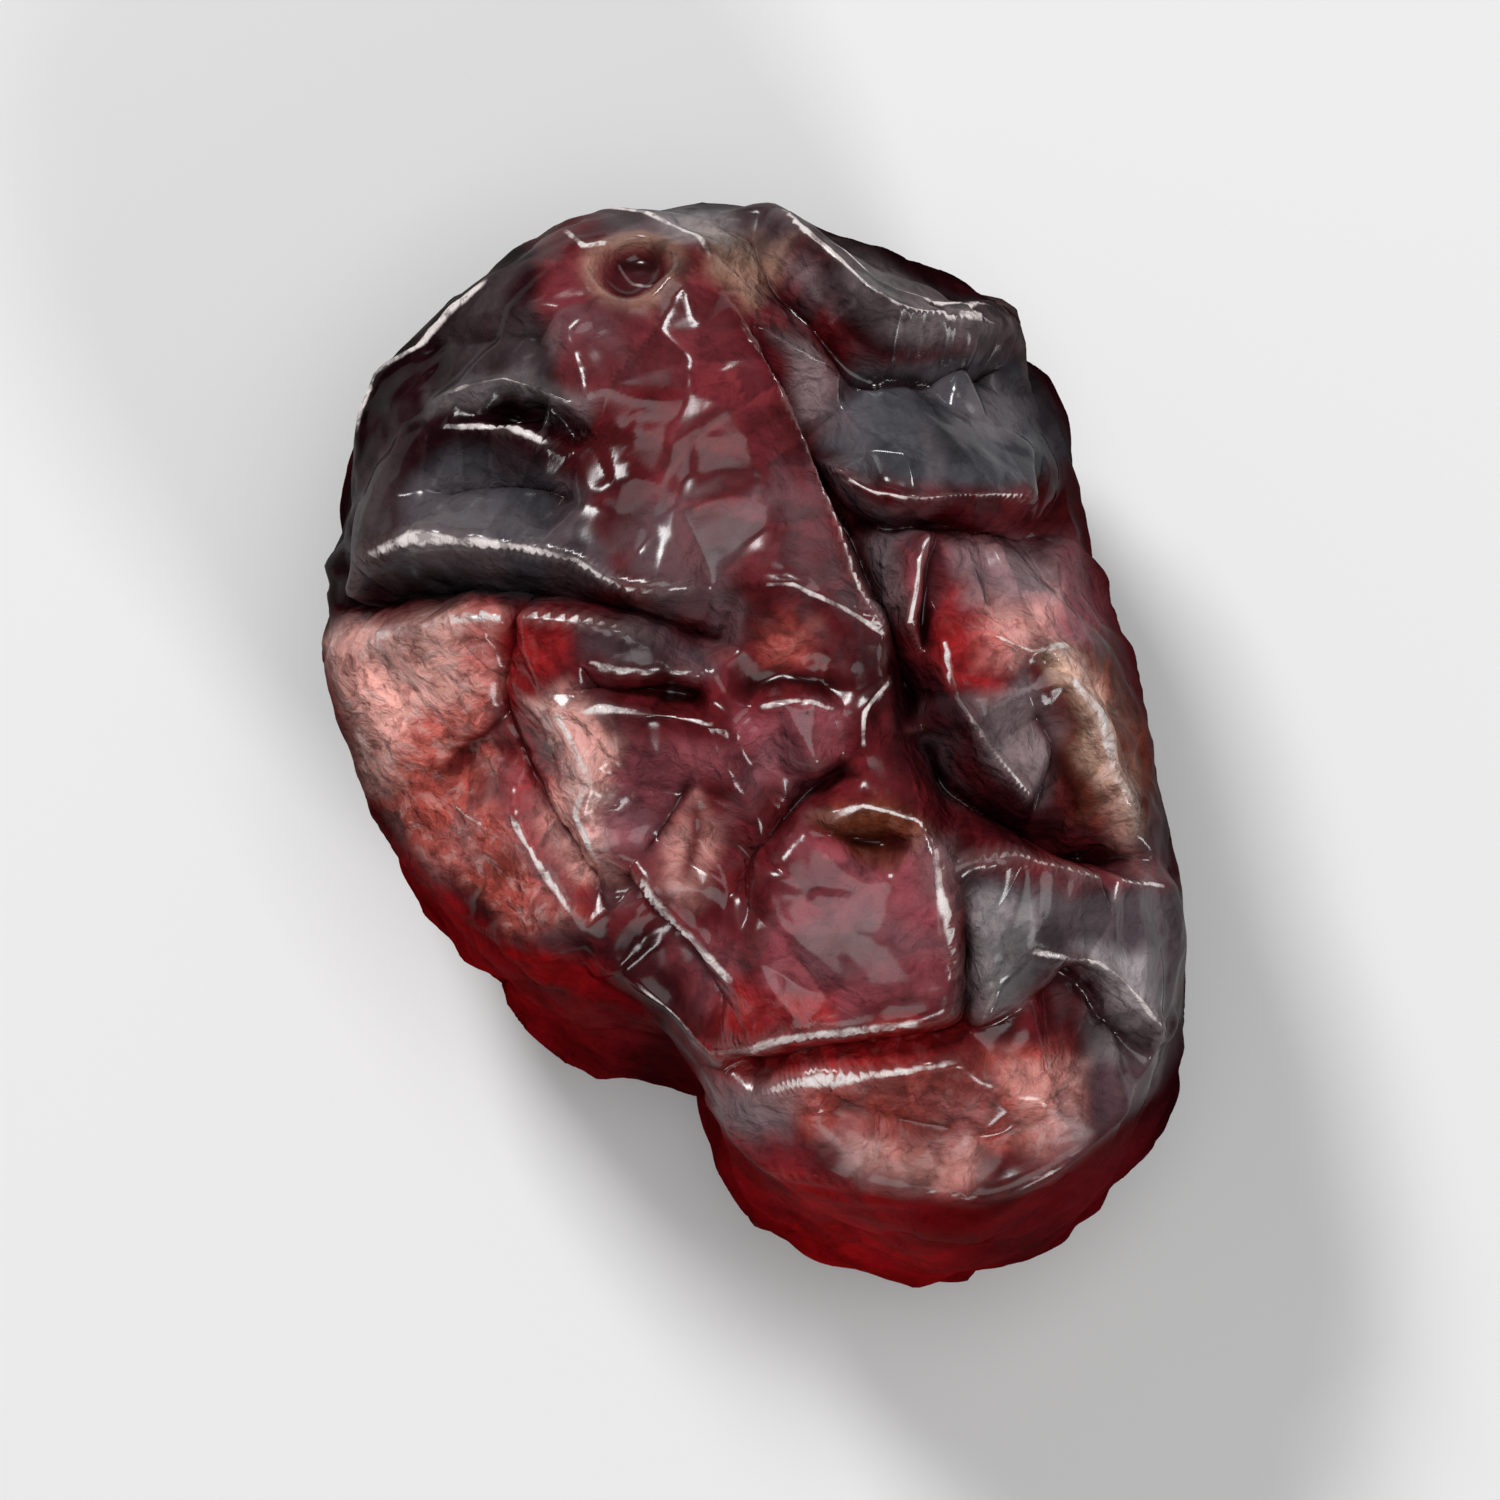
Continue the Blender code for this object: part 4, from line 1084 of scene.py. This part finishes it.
def skin_material(crinkles):
    """Oily dried skin: its colours, mottled and flecked, with painted sheen and sparkle, painted shade down
    its folds and in its hollows, and painted shine on its ridges.
    """
    material = bpy.data.materials.new("cranberry_skin_looks")
    material.use_nodes = True
    tree = material.node_tree
    shader = tree.nodes["Principled BSDF"]
    fine = add_node(tree, "ShaderNodeGroup", {"node_tree": crinkles})
    height, flecks, mottle = fine.outputs["Height"], fine.outputs["Flecks"], fine.outputs["Mottle"]
    crinkled = attribute_value(tree, "crinkled")
    gloss = attribute_value(tree, "gloss")
    colour = add_node(tree, "ShaderNodeAttribute", {"attribute_name": "skin_colour"}).outputs["Color"]
    colour = mixed(tree, 1.0, colour, spread(tree, mottle, *MOTTLE_TO_SHADE), "MULTIPLY")
    facets = spread(tree, attribute_value(tree, "shade"), *FACET_TO_SHADE)
    colour = mixed(tree, 1.0, colour, facets, "MULTIPLY")
    # The paler colour of painted highlight on the crests and crinkles
    pale = mixed(tree, PAINTED_HIGHLIGHT_SHARE, colour, PAINTED_HIGHLIGHT_TINT)
    # The darker colour of painted shade, which the dark flecks also take
    deep = mixed(tree, 1.0, colour, SHADE_AND_FLECK_TINT, "MULTIPLY")
    place = add_node(tree, "ShaderNodeTexCoord").outputs["Object"]
    # Painted sheen: grey spots from a noise, mixed in where the skin is glossy
    painted_sheen_spots = add_node(tree, "ShaderNodeTexNoise", Vector=place, Scale=PAINTED_SHEEN_SCALE, Detail=3.0, Distortion=0.4)
    painted_sheen_spots = scaled(tree, spread(tree, painted_sheen_spots.outputs["Fac"], *NOISE_TO_PAINTED_SHEEN), PAINTED_SHEEN_SHARE)
    colour = mixed(tree, scaled(tree, painted_sheen_spots, gloss), colour, PAINTED_SHEEN_TINT)
    # Painted sparkle: pale flecks on the crinkled skin stand in for its glittering highlights
    painted_sparkle = spread(tree, flecks, *NOISE_TO_PAINTED_SPARKLE)
    painted_sparkle = scaled(tree, painted_sparkle, spread(tree, crinkled, *CRINKLED_TO_PAINTED_SPARKLE))
    colour = mixed(tree, scaled(tree, painted_sparkle, PAINTED_SPARKLE_SHARE), colour, pale)
    dark_flecks = spread(tree, flecks, *NOISE_TO_DARK_FLECKS)
    dark_flecks = scaled(tree, dark_flecks, spread(tree, crinkled, *CRINKLED_TO_DARK_FLECKS))
    colour = mixed(tree, dark_flecks, colour, deep)
    # Painted highlight on the crests, painted shade in the creases and hollows
    for name, share, shaded in (
        ("crest", CREST_HIGHLIGHT_SHARE, pale),
        ("crease", CREASE_SHADE_SHARE, deep),
        ("hollow", HOLLOW_SHADE_SHARE, deep),
    ):
        colour = mixed(tree, scaled(tree, attribute_value(tree, name), share), colour, shaded)
    # Painted shine along the ridges
    colour = mixed(tree, painted_glint_of(tree, mottle, flecks), colour, PAINTED_GLINT_COLOUR)
    tree.links.new(colour, shader.inputs["Base Color"])
    rough = spread(tree, gloss, *GLOSS_TO_ROUGHNESS)
    rough = combined(tree, "ADD", rough, spread(tree, mottle, *MOTTLE_TO_ROUGHNESS))
    tree.links.new(rough, shader.inputs["Roughness"])
    coat = scaled(tree, gloss, spread(tree, mottle, *MOTTLE_TO_COAT))
    tree.links.new(coat, shader.inputs["Coat Weight"])
    relief = scaled(tree, height, spread(tree, crinkled, *CRINKLED_TO_RELIEF))
    bump = add_node(tree, "ShaderNodeBump", Strength=1.0, Distance=BUMP_DISTANCE, Height=relief)
    tree.links.new(bump.outputs["Normal"], shader.inputs["Normal"])
    shader.inputs["Specular IOR Level"].default_value = 0.0
    shader.inputs["Coat Roughness"].default_value = COAT_ROUGHNESS
    shader.inputs["Coat IOR"].default_value = COAT_IOR
    return material


def floor_material(colour):
    """Plain pale paper."""
    material = bpy.data.materials.new("pale_floor")
    material.use_nodes = True
    shader = material.node_tree.nodes["Principled BSDF"]
    shader.inputs["Base Color"].default_value = (*colour, 1)
    shader.inputs["Roughness"].default_value = FLOOR_ROUGHNESS
    return material


class CRANBERRY_OT_skin(Operator):
    """Builds the berry: its skin with the folds, the stem scar and the flower scar"""

    bl_idname = "cranberry.skin"
    bl_label = "Build Berry"

    def execute(self, context):
        settings = context.scene.cranberry_skin
        mesh, directions, edges = grid_sphere(settings.fineness)
        smooth = smooth_berry(directions)
        normals = normals_of(mesh, smooth)
        folds = all_folds(smooth, directions)
        skin = stretch_skin(smooth, normals, edges, folds, settings.fold_width / MM, settings.tautness)
        skin, shade = facet_skin(smooth, normals, directions, folds, skin)
        pinch = line_strength(smooth, folds, is_ridge, PINCH_WIDTH)
        skin += normals * (PINCH_HEIGHT * pinch)[:, None]
        skin = eased(close_clefts(skin, smooth, normals, folds, settings.cleft_closing), edges, 1)
        skin = crumple(mesh, skin, directions, settings.crumple)
        outward = normals_of(mesh, skin)
        stem = on_upper_face([STEM_SCAR["plan"]], skin, directions)[0]
        skin, stem_ring = sink_scar(skin, outward, edges, stem, STEM_SCAR)
        flower = at_angles(np.array([[FLOWER_SCAR["azimuth"], FLOWER_SCAR["elevation"]]]))
        flower = skin[np.linalg.norm(skin - flower, axis=1).argmin()]
        skin, flower_ring = sink_scar(skin, outward, edges, flower, FLOWER_SCAR)
        skin[:, 2] = np.maximum(skin[:, 2], 0)
        outward = normals_of(mesh, skin)
        size = (settings.width, settings.length, settings.height)
        scale = np.array([wanted / built for wanted, built in zip(size, CAD_SIZE)])
        mesh.vertices.foreach_set("co", (skin * MM * scale).ravel())
        mesh.update()
        mesh.shade_smooth()
        wander = np.array([noise.noise(Vector(point) * FACE_WANDER[0]) for point in skin])
        upper = inside_outline(skin[:, :2], np.array(FACE_OUTLINE), FACE_SOFTNESS)
        upper *= rising(normals[:, 2] + FACE_WANDER[1] * wander, *FACE_SLOPES)
        level = rising(normals[:, 2], *EDGE_SLOPES)
        ring = np.maximum(STEM_RIM * stem_ring, flower_ring)
        colours, character = skin_colours(settings, skin, directions, upper)
        # Painted shade: the upper face darkens on its slopes towards its edge
        colours *= 1 - EDGE_SHADE * (upper * (1 - level))[:, None]
        colours += (np.array(settings.tan) - colours) * RIM_SHARE * ring[:, None]
        store_colours(mesh, "skin_colour", colours)
        store_attribute(mesh, "crinkled", character[:, 0])
        store_attribute(mesh, "gloss", character[:, 1] * level)
        store_attribute(mesh, "shade", 0.5 + (shade - 0.5) * (WALL_SHADES + (1 - WALL_SHADES) * upper))
        # Painted highlight on the crests, and painted shade down the creases and grooves and in the hollows
        fine_sunk = ((eased(skin, edges, FINE_ROUNDS) - skin) * outward).sum(axis=1)
        broad_sunk = ((eased(skin, edges, BROAD_ROUNDS) - skin) * outward).sum(axis=1)
        grooves = line_strength(smooth, folds, is_groove, GROOVE_WIDTH)
        store_attribute(mesh, "crest", rising(-fine_sunk, *CRESTS))
        store_attribute(mesh, "crease", np.maximum(rising(fine_sunk, *CREASES), grooves))
        store_attribute(mesh, "hollow", rising(broad_sunk, *HOLLOWS) * (1 - ring))
        # Painted shine along the ridges: how near each point is to a ridge, where the skin faces the smooth
        # berry's way
        glint = line_strength(smooth, folds, is_ridge, GLINT_REACH)
        glint *= rising((outward * normals).sum(axis=1), *GLINT_FACING)
        store_attribute(mesh, "glint", glint * upper)
        store_attribute(mesh, "beside_ridge", beside_line(smooth, normals, folds, is_ridge, BESIDE_REACH))
        berry = bpy.data.objects.new("cranberry_skin", mesh)
        context.scene.collection.objects.link(berry)
        mesh.materials.append(skin_material(crinkle_group()))
        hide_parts("cranberry")
        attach(berry, "root")
        return {"FINISHED"}


def area_light(name, power, width, place, towards):
    """A square soft light that the camera doesn't see."""
    data = bpy.data.lights.new(name, "AREA")
    data.energy = power
    data.size = width
    light = bpy.data.objects.new(name, data)
    bpy.context.scene.collection.objects.link(light)
    light.location = place
    light.rotation_euler = (Vector(towards) - Vector(place)).to_track_quat("-Z", "Y").to_euler()
    light.visible_camera = False


class CRANBERRY_OT_stage(Operator):
    """Builds the floor, the lights and the camera"""

    bl_idname = "cranberry.stage"
    bl_label = "Build Stage"

    def execute(self, context):
        settings = context.scene.cranberry_stage
        grid = bmesh.new()
        bmesh.ops.create_grid(grid, x_segments=1, y_segments=1, size=settings.floor_width / 2)
        mesh = bpy.data.meshes.new("floor")
        grid.to_mesh(mesh)
        grid.free()
        mesh.materials.append(floor_material(settings.floor_colour))
        floor = bpy.data.objects.new("floor", mesh)
        context.scene.collection.objects.link(floor)
        world = bpy.data.worlds.new("studio")
        world.use_nodes = True
        world.node_tree.nodes["Background"].inputs["Color"].default_value = (1, 1, 1, 1)
        world.node_tree.nodes["Background"].inputs["Strength"].default_value = settings.surround
        context.scene.world = world
        middle = (CAD_LOW + CAD_HIGH) / 2
        for name, width, place in LIGHTS:
            area_light(name, getattr(settings, name + "_power"), width, place, middle)
        data = bpy.data.cameras.new("camera")
        data.lens = LENS
        data.clip_start, data.clip_end = CLIPS
        camera = bpy.data.objects.new("camera", data)
        context.scene.collection.objects.link(camera)
        distance = settings.frame_width * data.lens / data.sensor_width
        camera.location = (middle.x, middle.y, middle.z + distance)
        camera.rotation_euler = (0, 0, 0)
        context.scene.camera = camera
        context.scene.view_settings.view_transform = "Standard"
        return {"FINISHED"}


class CRANBERRY_PT_panel(Panel):
    """Lists the berry's operators and settings in the sidebar"""

    bl_idname = "CRANBERRY_PT_panel"
    bl_label = "Dried Cranberry"
    bl_space_type = "VIEW_3D"
    bl_region_type = "UI"
    bl_category = "Cranberry"

    def draw(self, context):
        layout = self.layout
        for settings, operator in (
            (context.scene.cranberry_skin, CRANBERRY_OT_skin),
            (context.scene.cranberry_stage, CRANBERRY_OT_stage),
        ):
            box = layout.box()
            for name in settings.__annotations__:
                box.prop(settings, name)
            box.operator(operator.bl_idname)


CLASSES = (
    CranberrySkinSettings,
    CranberryStageSettings,
    CRANBERRY_OT_skin,
    CRANBERRY_OT_stage,
    CRANBERRY_PT_panel,
)


def register():
    """Makes the berry's settings, operators and panel known to Blender."""
    for kind in CLASSES:
        bpy.utils.register_class(kind)
    bpy.types.Scene.cranberry_skin = PointerProperty(type=CranberrySkinSettings)
    bpy.types.Scene.cranberry_stage = PointerProperty(type=CranberryStageSettings)


def unregister():
    """Takes the berry's settings, operators and panel out of Blender."""
    del bpy.types.Scene.cranberry_stage
    del bpy.types.Scene.cranberry_skin
    for kind in reversed(CLASSES):
        bpy.utils.unregister_class(kind)


def main():
    """Builds the berry and its stage."""
    register()
    bpy.ops.cranberry.skin()
    bpy.ops.cranberry.stage()


if __name__ == "__main__":
    main()
